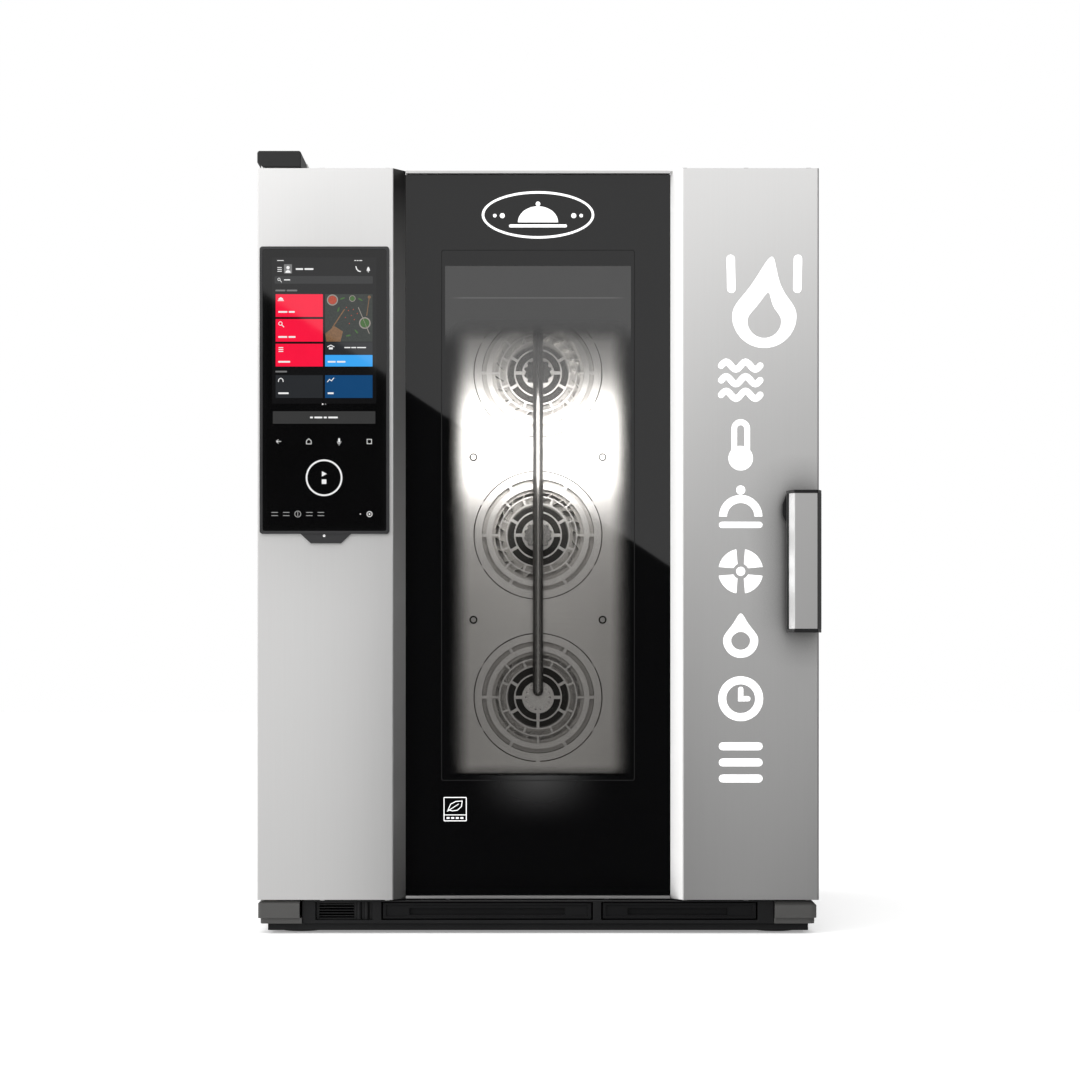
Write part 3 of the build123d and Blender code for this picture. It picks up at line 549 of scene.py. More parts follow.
finish = {
    # Painted shade on the handle's right side beyond start_x, and a painted highlight strip on
    # its left bevel.
    "grip": brushed("handle_steel", tone=0.76, roughness=0.33, **DOOR_STEEL,
                    painted_edge=dict(tone=0.010, metallic=0.0, roughness=0.6, start_x=0.3678),
                    highlight_strip=dict(end_x=0.3385, tone=0.99)),
    # Painted highlight: the edges beside the glass are a pale, matte white; painted shadow around
    # the handle.
    "panel_right": brushed("right_skin_steel", tone=0.83, roughness=0.34, **DOOR_STEEL,
                           painted_edge=dict(tone=0.96, metallic=0.0, roughness=0.5),
                           contact_shadow=dict(reach=0.055, dark_at=0.55, darkest=0.45)),
    # Painted reflection: the edges beside the glass are darker metal, graded by height.
    "panel_left": brushed("left_skin_steel", tone=0.83, roughness=0.34, **DOOR_STEEL,
                          painted_edge=dict(tone=0.62, metallic=0.84, roughness=0.36,
                                    shading=LEFT_EDGE_PAINTED_REFLECTION)),
    "body": brushed("body_steel", tone=0.70, roughness=0.33, grain="Z", contrast=0.05,
                    anisotropy=0.45),
    "roof": brushed("roof_steel", tone=0.70, roughness=0.33, grain="X", contrast=0.05,
                    anisotropy=0.45),
    # Painted shade: the liner behind the fan guard is darkened and browned, partly heat tint.
    "chamber": brushed("chamber_steel", tone=0.66, roughness=0.30, grain="X", contrast=0.10,
                       anisotropy=0.5, tint=(1, 0.99, 0.975), smudge=0.12, bump=0.2,
                       painted_shade_from_y=guard_front + 0.010),
    # Painted shade: the water tube is a darker copy of the polished steel.
    "tube": brushed("tube_steel_painted_shade", tone=0.36, roughness=0.10, **SMOOTH_STEEL),
    "screw": brushed("screw_steel", tone=0.55, roughness=0.30, grain="X", contrast=0.03,
                     anisotropy=0.1, smudge=0.10, bump=0.05, soft_edges=False,
                     rings=SCREW_RINGS),
    "guard": brushed("guard_steel", tone=0.74, roughness=0.30, grain="X", contrast=0.12,
                     anisotropy=0.5, tint=(1, 0.99, 0.98), smudge=0.10, bump=0.22),
    "polished": brushed("polished_steel", tone=0.80, roughness=0.12, **SMOOTH_STEEL),
    "zinc": brushed("galvanised_sheet", tone=0.52, roughness=0.42, grain="X", contrast=0.10,
                    anisotropy=0.1, tint=(0.97, 0.99, 1.0), smudge=0.35, soft_edges=False),
    "aluminium": brushed("cast_aluminium", tone=0.68, roughness=0.45, grain="X", contrast=0.05,
                         anisotropy=0.1, tint=(0.99, 1.0, 1.01), smudge=0.2,
                         soft_edges=False),
    # Painted shade: the impeller hubs are darkened.
    "impeller": brushed("impeller_steel", tone=0.90, roughness=0.34, grain="X", contrast=0.08,
                        anisotropy=0.3, tint=(1, 0.98, 0.95), smudge=0.15, soft_edges=False,
                        rings=FAN_HUB_SHADE_RINGS),
    "black": plastic("black_plastic", (0.0065, 0.0065, 0.007), roughness=0.40, specular=0.30),
    "cover": plastic("cover_plastic", (0.052, 0.051, 0.049), roughness=0.46),
    "top_cover": plastic("top_cover_plastic", (0.010, 0.010, 0.010), roughness=0.46,
                         specular=0.30),
    "base": plastic("base_plastic", (0.006, 0.006, 0.0065), roughness=0.48, specular=0.25),
    "drawer": plastic("drawer_plastic", (0.0045, 0.0045, 0.005), roughness=0.42,
                      specular=0.20),
    "bezel": plastic("bezel_plastic", (0.014, 0.014, 0.015), roughness=0.30, bump=0.08),
    "rubber": dusty_rubber("black_rubber", level=0.018),
    "wool": matted_wool("mineral_wool"),
    "heater": heated_metal("heater_sheath"),
    "bronze": grainy_bronze("sintered_bronze"),
    "board": circuit_board("circuit_board"),
    "screen": gloss_black("screen_glass"),
    # Painted shade and a painted highlight line at the head of the outer window.
    "outer_glass": window_glass("tinted_door_glass", half_width=0.1245, bottom=0.2105,
                                top=0.8945, clarity=0.93, print_and_shade=True),
    "inner_glass": window_glass("clear_door_glass", half_width=0.30, bottom=0.0, top=1.2,
                                clarity=0.985, print_and_shade=False),
    # Painted glow: the white print emits a little light, though it is no lamp.
    "white": paint("white_print_painted_glow", level=0.92, roughness=0.4, glow=0.28),
    "dark_line": paint("dark_print", level=0.0015, roughness=0.7),
    "diffuser": glowing_diffuser("lamp_diffuser", (1.0, 0.97, 0.92), strength=0.9),
}

PIECES_BY_FINISH = {
    "grip": ["handle_face"],
    "panel_right": ["right_door_panel"],
    "panel_left": ["left_door_panel"],
    "body": ["right_side_panel", "left_side_panel", "rear_panel", "front_frame",
             "exhaust_chimney", "glass_profiles"],
    "roof": ["top_panel", "hinge_brackets", "latch_keeper", "latch_hook", "drain_pipe",
             "inner_glass_hinges_and_clips", "door_drip_gutter"],
    "chamber": ["cavity_liner"],
    "guard": ["fan_guard"],
    "tube": ["water_manifold_tube"],
    "screw": ["guard_screws"],
    "polished": ["motor_shaft_top", "motor_shaft_middle", "motor_shaft_bottom",
                 "tray_rack_right", "tray_rack_left", "drain_strainer", "hinge_pins",
                 "hinge_screws", "handle_spindle"],
    "zinc": ["bottom_panel", "motor_plate", "electronics_boxes", "door_frame"],
    "aluminium": ["fan_motors", "led_light_bars"],
    "impeller": ["fan_impeller_top", "fan_impeller_middle", "fan_impeller_bottom"],
    "black": ["handle_core", "handle_caps", "intake_grille", "water_inlet_valves"],
    "cover": ["bottom_hinge_cover", "bottom_right_cover"],
    "top_cover": ["top_hinge_cover"],
    "base": ["base_tray"],
    "drawer": ["drip_drawer", "detergent_drawer"],
    "bezel": ["display_frame"],
    "rubber": ["levelling_feet", "door_gasket", "shaft_seals", "power_cable"],
    "wool": ["insulation_jacket"],
    "heater": ["heating_elements"],
    "bronze": ["door_bushes"],
    "board": ["display_electronics"],
    "screen": ["display_glass"],
    "outer_glass": ["outer_door_glass"],
    "inner_glass": ["inner_door_glass"],
}
for key, names in PIECES_BY_FINISH.items():
    for name in names:
        slots = pieces[name].data.materials
        slots.clear()
        slots.append(finish[key])
bare = set(pieces) - {name for names in PIECES_BY_FINISH.values() for name in names}
assert not bare, bare


# ---------------------------------------------------------------- outlines and reliefs
def arc(x, z, radius, start, end, steps, radius_z=None):
    """Points from start to end, in degrees; radius_z makes it elliptical."""
    angles = [math.radians(start + (end - start) * k / steps) for k in range(steps + 1)]
    radius_z = radius_z or radius
    return [(x + radius * math.cos(a), z + radius_z * math.sin(a)) for a in angles]


def circle(x, z, radius, count, radius_z=None):
    return arc(x, z, radius, 0, 360, count, radius_z)[:-1]


def rounded_box(left, right, bottom, top, radius, steps):
    low_x, high_x = left + radius, right - radius
    low_z, high_z = bottom + radius, top - radius
    corners = [(high_x, high_z), (low_x, high_z), (low_x, low_z), (high_x, low_z)]
    points = []
    for i, (x, z) in enumerate(corners):
        points += arc(x, z, radius, 90 * i, 90 * i + 90, steps)
    return points


def teardrop(x, z, radius, tip, count, squeeze, lean=0.0):
    """Circle drawn up to a tip above z, narrowed by squeeze and leaned to the right."""
    points = []
    for k in range(count):
        angle = 2 * math.pi * k / count
        upper = max(0.0, math.sin(angle))
        reach = radius + (tip - radius) * upper ** 5
        points.append((x + radius * math.cos(angle) * (1 - squeeze * upper ** 2)
                       + lean * upper ** 6,
                       z + reach * math.sin(angle)))
    return points


def round_end(tip, previous, width):
    heading = math.degrees(math.atan2(tip[1] - previous[1], tip[0] - previous[0]))
    return arc(*tip, width / 2, heading - 60, heading + 60, 4)


def door_part(shape, name, material):
    """Turn a bmesh into an object that moves with the door."""
    bmesh.ops.recalc_face_normals(shape, faces=shape.faces)
    mesh = bpy.data.meshes.new(name)
    shape.to_mesh(mesh)
    shape.free()
    part = bpy.data.objects.new(name, mesh)
    scene.collection.objects.link(part)
    mesh.materials.append(material)
    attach(part, "door")


class Relief:
    """Thin solid shapes with outlines in x and z, gathered into one mesh."""

    def __init__(self, front, back):
        self.shape = bmesh.new()
        self.front = front
        self.back = back

    def place(self, name, material, slot):
        door_part(self.shape, name, material)

    def verts(self, outline, y):
        return [self.shape.verts.new((x, y, z)) for x, z in outline]

    def prism(self, outline):
        front = self.verts(outline, self.front)
        back = self.verts(outline, self.back)
        new_face = self.shape.faces.new
        new_face(front)
        new_face(back[::-1])
        for i in range(len(outline)):
            j = (i + 1) % len(outline)
            new_face((front[i], back[i], back[j], front[j]))

    def band(self, outer, inner):
        """Closed band between two outlines with the same number of points."""
        outer_front = self.verts(outer, self.front)
        outer_back = self.verts(outer, self.back)
        inner_front = self.verts(inner, self.front)
        inner_back = self.verts(inner, self.back)
        new_face = self.shape.faces.new
        for i in range(len(outer)):
            j = (i + 1) % len(outer)
            new_face((outer_front[i], outer_front[j], inner_front[j], inner_front[i]))
            new_face((outer_back[i], inner_back[i], inner_back[j], outer_back[j]))
            new_face((outer_front[i], outer_back[i], outer_back[j], outer_front[j]))
            new_face((inner_front[i], inner_front[j], inner_back[j], inner_back[i]))

    def stroke(self, points, width, closed=False, rounded=True):
        """A line of even width with mitred joints; an open one has round ends if rounded."""
        last = len(points) - 1
        left, right = [], []
        for i, (x, z) in enumerate(points):
            if closed:
                before, after = points[i - 1], points[(i + 1) % len(points)]
            else:
                before, after = points[max(0, i - 1)], points[min(last, i + 1)]
            arriving = Vector((x - before[0], z - before[1]))
            leaving = Vector((after[0] - x, after[1] - z))
            if arriving.length < 1e-12:
                arriving = leaving
            if leaving.length < 1e-12:
                leaving = arriving
            arriving = arriving.normalized()
            leaving = leaving.normalized()
            side = Vector((-arriving.y, arriving.x)) + Vector((-leaving.y, leaving.x))
            # The floor of 0.6 keeps a sharp mitre short.
            side = side * (2.0 / max(side.length_squared, 0.6)) * (width / 2)
            left.append((x + side.x, z + side.y))
            right.append((x - side.x, z - side.y))
        if closed:
            self.band(left, right)
        elif rounded:
            self.prism(right + round_end(points[-1], points[-2], width)
                       + left[::-1] + round_end(points[0], points[1], width))
        else:
            self.prism(right + left[::-1])

    def disc(self, x, z, radius, count):
        self.prism(circle(x, z, radius, count))

    def ring(self, x, z, outer, inner, count):
        self.band(circle(x, z, outer, count), circle(x, z, inner, count))

    def frame(self, left, right, bottom, top, width, outer_radius, inner_radius, steps):
        self.band(rounded_box(left, right, bottom, top, outer_radius, steps),
                  rounded_box(left + width, right - width, bottom + width, top - width,
                              inner_radius, steps))


# ---------------------------------------------------------------- screen layout
# The display is laid out in columns from the left and rows from the top of its cover glass.
COLUMNS = 124.0
ROWS = 281.0
SCREEN_LAYER = 0.00012  # thickness of one layer of the display
PRINT_GAP = 0.00001     # gap behind every print and layer
screen_low, screen_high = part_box("display_glass")
column_width = (screen_high.x - screen_low.x) / COLUMNS


def screen_x(column):
    return screen_low.x + (screen_high.x - screen_low.x) * (column / COLUMNS)


def screen_z(row):
    return screen_high.z - (screen_high.z - screen_low.z) * (row / ROWS)


def on_screen(points):
    return [(screen_x(column), screen_z(row)) for column, row in points]


class ScreenRelief(Relief):
    """One layer of the display; places in columns and rows, widths and radii in columns."""

    def __init__(self, layer):
        super().__init__(screen_low.y - SCREEN_LAYER * layer,
                         screen_low.y - SCREEN_LAYER * (layer - 1) - PRINT_GAP)

    def place(self, name, material):
        super().place(name, material, "screen_glass")

    def box(self, left, right, top, bottom, corner=0.0):
        x0, x1 = screen_x(left), screen_x(right)
        z0, z1 = screen_z(bottom), screen_z(top)
        if corner > 0:
            self.prism(rounded_box(x0, x1, z0, z1, corner * column_width, 3))
        else:
            self.prism([(x0, z0), (x1, z0), (x1, z1), (x0, z1)])

    def disc(self, column, row, radius, count):
        super().disc(screen_x(column), screen_z(row), radius * column_width, count)

    def ring(self, column, row, outer, inner, count):
        super().ring(screen_x(column), screen_z(row), outer * column_width,
                     inner * column_width, count)

    def fill(self, points):
        self.prism(on_screen(points))

    def line(self, points, width, closed=False):
        self.stroke(on_screen(points), width * column_width, closed)

    def label(self, column, row, widths, height):
        """A row of short plain bars that stand for words."""
        for width in widths:
            self.box(column, column + width, row - height / 2, row + height / 2,
                     corner=height * 0.35)
            column += width + height * 0.8

    def list_mark(self, left, right, top, height):
        """Three short bars, one above another."""
        for k in range(3):
            self.box(left, right, top + 1.9 * k, top + height + 1.9 * k)


# Colour, then share and scale of the mottling where it isn't the plain one.
SCREEN_COLOURS = {
    "red": ((0.95, 0.008, 0.05),),
    "light_blue": ((0.045, 0.38, 0.90),),
    "navy": ((0.006, 0.060, 0.175),),
    "slate": ((0.022, 0.024, 0.027),),
    "grey": ((0.040, 0.040, 0.040),),
    "field": ((0.028, 0.029, 0.030),),
    "back": ((0.0045, 0.0045, 0.005),),
    "white": ((0.86, 0.86, 0.86),),
    "dim": ((0.18, 0.18, 0.18),),
    "table": ((0.030, 0.036, 0.032), 0.45, 420.0),
    "wood": ((0.20, 0.105, 0.05), 0.5, 700.0),
    "bowl": ((0.30, 0.27, 0.24), 0.3, 900.0),
    "spice": ((0.42, 0.06, 0.03), 0.6, 1500.0),
    "herb": ((0.05, 0.13, 0.03), 0.6, 1500.0),
}
screen_colour = {key: lit("ui_" + key, *spec) for key, spec in SCREEN_COLOURS.items()}

# Object, colour, layer, corner radius, boxes as (left, right, top, bottom).
SCREEN_BLOCKS = [
    ("ui_background", "back", 1, 0.0, [(9.5, 114.0, 8.0, 154.0)]),
    ("ui_search_field", "field", 2, 1.0, [(12.0, 110.5, 26.6, 34.2)]),
    ("ui_red_tiles", "red", 2, 0.0, [
        (13.0, 60.4, 44.7, 67.4), (13.0, 60.4, 69.5, 92.1), (13.0, 60.4, 94.2, 116.9)]),
    ("ui_photo_tile", "table", 2, 0.0, [(62.6, 110.2, 44.7, 92.1)]),
    ("ui_strip", "slate", 2, 0.0, [(62.6, 110.2, 92.7, 105.2)]),
    ("ui_blue_tile", "light_blue", 2, 0.0, [(62.6, 110.2, 105.4, 116.9)]),
    ("ui_dark_tile", "slate", 2, 0.0, [(13.0, 60.4, 125.6, 148.3)]),
    ("ui_navy_tile", "navy", 2, 0.0, [(62.6, 110.2, 125.6, 148.3)]),
    ("ui_status_bar", "grey", 2, 0.0, [(10.2, 113.0, 161.6, 174.0)]),
]
for name, colour, layer, corner, boxes in SCREEN_BLOCKS:
    blocks = ScreenRelief(layer)
    for box in boxes:
        blocks.box(*box, corner=corner)
    blocks.place(name, screen_colour[colour])


# ---------------------------------------------------------------- laid table on the picture tile
def table_tools():
    art = ScreenRelief(layer=3)
    art.fill([(64.0, 92.0), (62.8, 84.0), (72.0, 76.5), (80.5, 82.0), (78.0, 92.0)])
    art.line([(70.0, 78.0), (82.0, 60.0)], width=1.1)
    art.line([(106.8, 49.0), (104.4, 66.0)], width=0.8)
    art.disc(107.0, 47.6, radius=1.6, count=14)
    art.place("ui_table_tools", screen_colour["wood"])


def table_bowls():
    art = ScreenRelief(layer=3)
    for column, row, radius in ((70.0, 50.5, 5.6), (102.5, 73.5, 5.8), (90.0, 49.0, 3.2)):
        art.ring(column, row, outer=radius, inner=radius * 0.80, count=28)
    art.line([(96.0, 58.0), (107.0, 84.0)], width=0.7)
    art.place("ui_table_bowls", screen_colour["bowl"])


def table_spice():
    art = ScreenRelief(layer=3)
    art.disc(70.0, 50.5, radius=4.3, count=20)
    crumbs = [(84, 58), (86, 61), (89, 66), (92, 70), (87, 74), (95, 64), (83, 68), (91, 60)]
    for column, row in crumbs:
        art.disc(column, row, radius=0.55, count=8)
    art.place("ui_table_spice", screen_colour["spice"])


def leaf(column, row, tilt, length=2.6, width=0.8, count=14):
    """Ellipse with the given half length and half width, turned by tilt degrees."""
    cosine, sine = math.cos(math.radians(tilt)), math.sin(math.radians(tilt))
    return [(screen_x(column) + column_width * (x * cosine - z * sine),
             screen_z(row) + column_width * (x * sine + z * cosine))
            for x, z in circle(0.0, 0.0, length, count, radius_z=width)]


def table_herbs():
    art = ScreenRelief(layer=3)
    art.disc(102.5, 73.5, radius=4.5, count=20)
    art.disc(90.0, 49.0, radius=2.4, count=16)
    leaves = [(80, 49, 20), (76, 60, 70), (98, 50, -30), (86, 86, 10), (94, 82, -50)]
    for column, row, tilt in leaves:
        art.prism(leaf(column, row, tilt))
    art.place("ui_table_herbs", screen_colour["herb"])


table_tools()
table_bowls()
table_spice()
table_herbs()

# ---------------------------------------------------------------- screen labels and icons
# Labels: column, row, bar widths, bar height.
CORNER_LABELS = [
    (21.4, 30.4, (6.2,), 1.1), (14.5, 11.1, (6.6,), 0.7), (92.0, 11.1, (1.8, 1.8, 3.0), 0.8),
]
TILE_LABELS = [
    (15.6, 62.4, (9.2, 6.0), 1.7), (15.6, 87.4, (9.0, 7.0), 1.7), (15.6, 112.2, (12.0,), 1.7),
    (15.6, 143.6, (10.5,), 1.7), (65.2, 143.6, (6.0,), 1.7), (65.2, 112.2, (8.0, 8.6), 1.6),
    (82.0, 98.0, (6.0, 5.0, 9.0), 1.1),
]


def header_icons(art):
    """Menu, heading, phone, bell and the magnifier of the search field."""
    art.list_mark(left=14.8, right=19.2, top=17.7, height=0.7)
    art.label(33.2, 19.6, (7.4, 9.0), height=1.7)
    art.line([(93.6, 17.2), (94.4, 19.8), (96.2, 21.6), (98.0, 22.0)], width=1.1)
    art.fill([(104.3, 21.4), (104.9, 18.6), (106.0, 17.2), (107.1, 18.6), (107.7, 21.4)])
    art.disc(106.0, 22.3, radius=0.6, count=10)
    art.ring(16.4, 29.9, outer=1.5, inner=1.0, count=16)
    art.line([(17.5, 31.0), (19.0, 32.6)], width=0.6)


def tile_icons(art):
    """Cloche, magnifier, list, headset, chart and the mark on the strip."""
    art.fill([(15.6, 50.4), (16.2, 48.8), (18.2, 47.6), (20.2, 48.8), (20.8, 50.4)])
    art.box(15.2, 21.2, 50.8, 51.5)
    art.ring(17.8, 74.0, outer=2.1, inner=1.4, count=18)
    art.line([(19.3, 75.5), (21.2, 77.4)], width=0.8)
    art.list_mark(left=16.0, right=20.6, top=97.6, height=0.9)
    art.line([(15.8, 132.0), (16.3, 129.6), (18.2, 128.6), (20.1, 129.6), (20.6, 132.0)],
             width=0.8)
    art.line([(65.0, 132.2), (67.0, 129.8), (69.0, 131.2), (71.4, 128.4)], width=0.8)
    art.line([(65.2, 97.2), (68.4, 95.6), (71.6, 97.2)], width=0.9)
    art.box(66.4, 70.4, 97.8, 99.8)


def navigation_icons(art):
    """Arrow, house, microphone and square."""
    art.line([(18.3, 191.7), (13.9, 191.7)], width=0.55)
    art.line([(15.6, 189.9), (13.8, 191.7), (15.6, 193.5)], width=0.55)
    art.line([(43.9, 194.2), (43.9, 191.2), (46.3, 189.0), (48.7, 191.2), (48.7, 194.2)],
             width=0.55, closed=True)
    art.line([(76.7, 189.4), (76.7, 192.0)], width=1.9)
    art.line([(74.8, 191.8), (75.4, 193.5), (76.7, 194.1), (78.0, 193.5), (78.6, 191.8)],
             width=0.45)
    art.line([(76.7, 194.1), (76.7, 195.6)], width=0.45)
    art.line([(104.8, 189.6), (109.2, 189.6), (109.2, 194.0), (104.8, 194.0)],
             width=0.55, closed=True)


def white_icons():
    art = ScreenRelief(layer=3)
    header_icons(art)
    for label in CORNER_LABELS + TILE_LABELS:
        art.label(*label)
    tile_icons(art)
    # Status bar text and the first page dot.
    art.label(47.5, 167.8, (3.0, 8.0, 3.2, 9.6), height=1.7)
    art.disc(60.2, 154.5, radius=0.8, count=12)
    navigation_icons(art)
    art.place("ui_icons", screen_colour["white"])


def dim_labels():
    art = ScreenRelief(layer=3)
    art.label(12.8, 41.0, (10.0, 10.6), height=1.6)
    art.label(12.8, 122.0, (11.6,), height=1.6)
    art.disc(63.0, 154.5, radius=0.8, count=12)
    art.place("ui_dim_labels", screen_colour["dim"])


def user_tile():
    tile = ScreenRelief(layer=3)
    tile.prism(rounded_box(screen_x(21.4), screen_x(29.4), screen_z(24.0), screen_z(14.8),
                           0.6 * column_width, 3))
    tile.place("ui_user_tile", screen_colour["dim"])
    person = ScreenRelief(layer=4)
    person.disc(25.4, 18.2, radius=1.7, count=18)
    person.fill([(22.6, 23.4), (23.2, 21.6), (24.6, 20.7), (26.2, 20.7), (27.6, 21.6),
                 (28.2, 23.4)])
    person.place("ui_user_icon", screen_colour["white"])


def start_ring():
    """Large ring with play and stop marks, and small marks at the foot of the glass."""
    art = ScreenRelief(layer=1)
    art.ring(61.6, 228.0, outer=18.4, inner=16.7, count=72)
    x, z, unit = screen_x(61.6), screen_z(228.0), column_width
    art.prism([(x - 2.2 * unit, z + 1.2 * unit), (x - 2.2 * unit, z + 6.6 * unit),
               (x + 2.9 * unit, z + 3.9 * unit)])
    art.prism(rounded_box(x - 2.3 * unit, x + 2.3 * unit, z - 6.2 * unit, z - 1.6 * unit,
                          0.3 * unit, 2))
    art.disc(98.0, 264.2, radius=0.6, count=10)
    art.ring(107.2, 264.3, outer=2.9, inner=2.2, count=24)
    art.disc(107.2, 264.3, radius=0.9, count=12)
    art.place("ui_start_ring", screen_colour["white"])


def mode_marks():
    """Row of five marks at the foot of the screen, the middle one a ring."""
    material = lit("ui_soft_white", (0.42, 0.42, 0.42))
    art = ScreenRelief(layer=1)
    for k in range(5):
        left = 9.0 + k * 11.6
        if k == 2:
            art.ring(left + 3, 264.2, outer=3.3, inner=2.7, count=24)
            art.line([(left + 3, 262.4), (left + 3, 266.0)], width=0.6)
        else:
            for row in (262.6, 265.8):
                art.line([(left, row), (left + 6.0, row)], width=0.6)
    art.place("ui_mode_marks", material)


def sensor_ring():
    """Small ring in the tab of the display frame."""
    low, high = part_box("display_frame")
    art = Relief(front=low.y + 0.0009, back=low.y + 0.00102)
    art.ring(low.x + (high.x - low.x) * 0.497, low.z + 0.0100,
             outer=0.0016, inner=0.0009, count=20)
    art.place("display_sensor_ring", finish["white"], "screen_glass")


white_icons()
dim_labels()
user_tile()
start_ring()
mode_marks()
sensor_ring()

# ---------------------------------------------------------------- prints on the door glass
glass_low, glass_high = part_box("outer_door_glass")


def glass_print(thickness):
    return Relief(front=glass_low.y - thickness, back=glass_low.y - PRINT_GAP)


def door_emblem():
    """Oval ring around a serving dome on its plate, with two dots on each side."""
    art = glass_print(thickness=0.00012)
    x, z = (glass_low.x + glass_high.x) / 2, 0.9635
    art.band(circle(x, z, 0.0755, 96, radius_z=0.0318),
             circle(x, z, 0.0722, 96, radius_z=0.0286))
    art.prism(arc(x, z - 0.0100, 0.0270, 0, 180, 28, radius_z=0.0215))
    art.disc(x, z + 0.0148, radius=0.0031, count=20)
    art.stroke([(x - 0.0370, z - 0.0148), (x + 0.0370, z - 0.0148)], width=0.0040)
    for side in (-1, 1):
        art.disc(x + side * 0.0480, z - 0.0010, radius=0.0034, count=20)
        art.disc(x + side * 0.0580, z - 0.0010, radius=0.0024, count=20)
    art.place("door_emblem", finish["white"], "black_glass")


# Outline of the leaf, x and z from its middle.
LEAF_OUTLINE = [
    (-0.0095, -0.0045), (-0.0060, 0.0030), (0.0010, 0.0066), (0.0095, 0.0072),
    (0.0085, -0.0002), (0.0030, -0.0052), (-0.0040, -0.0062),
]


def leaf_icon():
    """Framed leaf above a divider and a row of four small blocks."""
    art = glass_print(thickness=0.00012)
    left, right, bottom, top = -0.1268, -0.0958, 0.1490, 0.1815
    art.frame(left, right, bottom, top, width=0.0011, outer_radius=0.0012,
              inner_radius=0.0006, steps=2)
    divider = bottom + 0.0085
    art.stroke([(left + 0.001, divider), (right - 0.001, divider)], width=0.0010,
               rounded=False)
    x, z = (left + right) / 2, bottom + 0.0200
    art.stroke([(x + dx, z + dz) for dx, dz in LEAF_OUTLINE], width=0.0010, closed=True)
    art.stroke([(x - 0.0105, z - 0.0066), (x + 0.0045, z + 0.0030)], width=0.0009)
    for k in range(4):
        start = left + k * 0.0062
        art.prism(rounded_box(start + 0.0040, start + 0.0080, bottom + 0.0032,
                              bottom + 0.0055, 0.0005, 2))
    art.place("door_leaf_icon", finish["white"], "black_glass")


def window_line():
    art = glass_print(thickness=0.00010)
    art.frame(-0.1300, 0.1300, 0.2035, 0.9165, width=0.0010, outer_radius=0.003,
              inner_radius=0.0025, steps=4)
    art.place("door_window_line", finish["dark_line"], "black_glass")


door_emblem()
leaf_icon()
window_line()

# ---------------------------------------------------------------- white signs on the right panel
panel_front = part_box("right_door_panel")[0].y
SIGN_LEFT = 0.2405
SIGN_RIGHT = 0.3005
SIGN_X = (SIGN_LEFT + SIGN_RIGHT) / 2
SIGN_LINE = 0.0108         # main line width
LOWEST_SIGN_Z = 0.2290
SIGN_PITCH = 0.0850


def sign_tray_levels(art, z):
    for k in (-1, 0, 1):
        level = z + k * 0.0215
        art.stroke([(SIGN_LEFT + 0.006, level), (SIGN_RIGHT - 0.006, level)], SIGN_LINE)


def sign_clock(art, z):
    art.ring(SIGN_X, z, outer=0.0300, inner=0.0300 - SIGN_LINE, count=56)
    art.stroke([(SIGN_X, z + 0.0125), (SIGN_X, z), (SIGN_X + 0.0095, z)], width=0.0072)


def sign_drop(art, z):
    radius, tip = 0.0235, 0.0360
    middle = z - 0.0070
    art.band(teardrop(SIGN_X, middle, radius, tip, count=48, squeeze=0.42),
             teardrop(SIGN_X, middle, radius - SIGN_LINE, tip - 2.3 * SIGN_LINE, count=48,
                      squeeze=0.42))


def sign_fan(art, z):
    for k in range(4):
        heading = 45 + 90 * k
        art.prism(arc(SIGN_X, z, 0.0300, heading - 34, heading + 34, 12)
                  + arc(SIGN_X, z, 0.0105, heading + 22, heading - 22, 4))
    art.disc(SIGN_X, z, radius=0.0062, count=24)


def sign_cloche(art, z):
    base = z - 0.0120
    art.prism(arc(SIGN_X, base, 0.0290, 0, 180, 24)
              + arc(SIGN_X, base, 0.0182, 0, 180, 24)[::-1])
    plate = z - 0.0230
    art.stroke([(SIGN_LEFT + 0.005, plate), (SIGN_RIGHT - 0.005, plate)], width=0.0085)
    art.disc(SIGN_X, z + 0.0235, radius=0.0062, count=24)


def sign_thermometer(art, z):
    art.band(rounded_box(SIGN_X - 0.0125, SIGN_X + 0.0125, z - 0.020, z + 0.0330, 0.0124, 8),
             rounded_box(SIGN_X - 0.0048, SIGN_X + 0.0048, z - 0.010, z + 0.0250, 0.0047, 8))
    art.disc(SIGN_X, z - 0.0190, radius=0.0165, count=40)


def sign_waves(art, z):
    start, length = SIGN_LEFT + 0.004, SIGN_RIGHT - SIGN_LEFT - 0.008
    for k in (-1, 0, 1):
        shares = [j / 24.0 for j in range(25)]
        art.stroke([(start + length * share,
                     z + k * 0.0195 + 0.0050 * math.sin(share * 4 * math.pi))
                    for share in shares], width=0.0088)


def sign_flame(art, x, z):
    """Large flame with a drop cut out of it, between two upright bars."""
    radius, inner_radius = 0.0430, 0.0225
    lean = 0.010
    art.band(teardrop(x, z - 0.0200, radius, tip=0.0790, count=72, squeeze=0.45, lean=lean),
             teardrop(x, z - 0.0270, inner_radius, tip=0.0380, count=72, squeeze=0.45,
                      lean=lean * inner_radius / radius))
    for offset in (-0.0440, 0.0440):
        art.stroke([(x + offset, z + 0.016), (x + offset * 1.02, z + 0.056)], width=0.0115)


# From the bottom up.
SIGNS = [sign_tray_levels, sign_clock, sign_drop, sign_fan, sign_cloche, sign_thermometer,
         sign_waves]
signs = Relief(front=panel_front - 0.00022, back=panel_front - PRINT_GAP)
for number, draw_sign in enumerate(SIGNS):
    draw_sign(signs, LOWEST_SIGN_Z + number * SIGN_PITCH)
sign_flame(signs, x=0.3020, z=0.8450)
signs.place("right_panel_signs", finish["white"], "steel_panel")


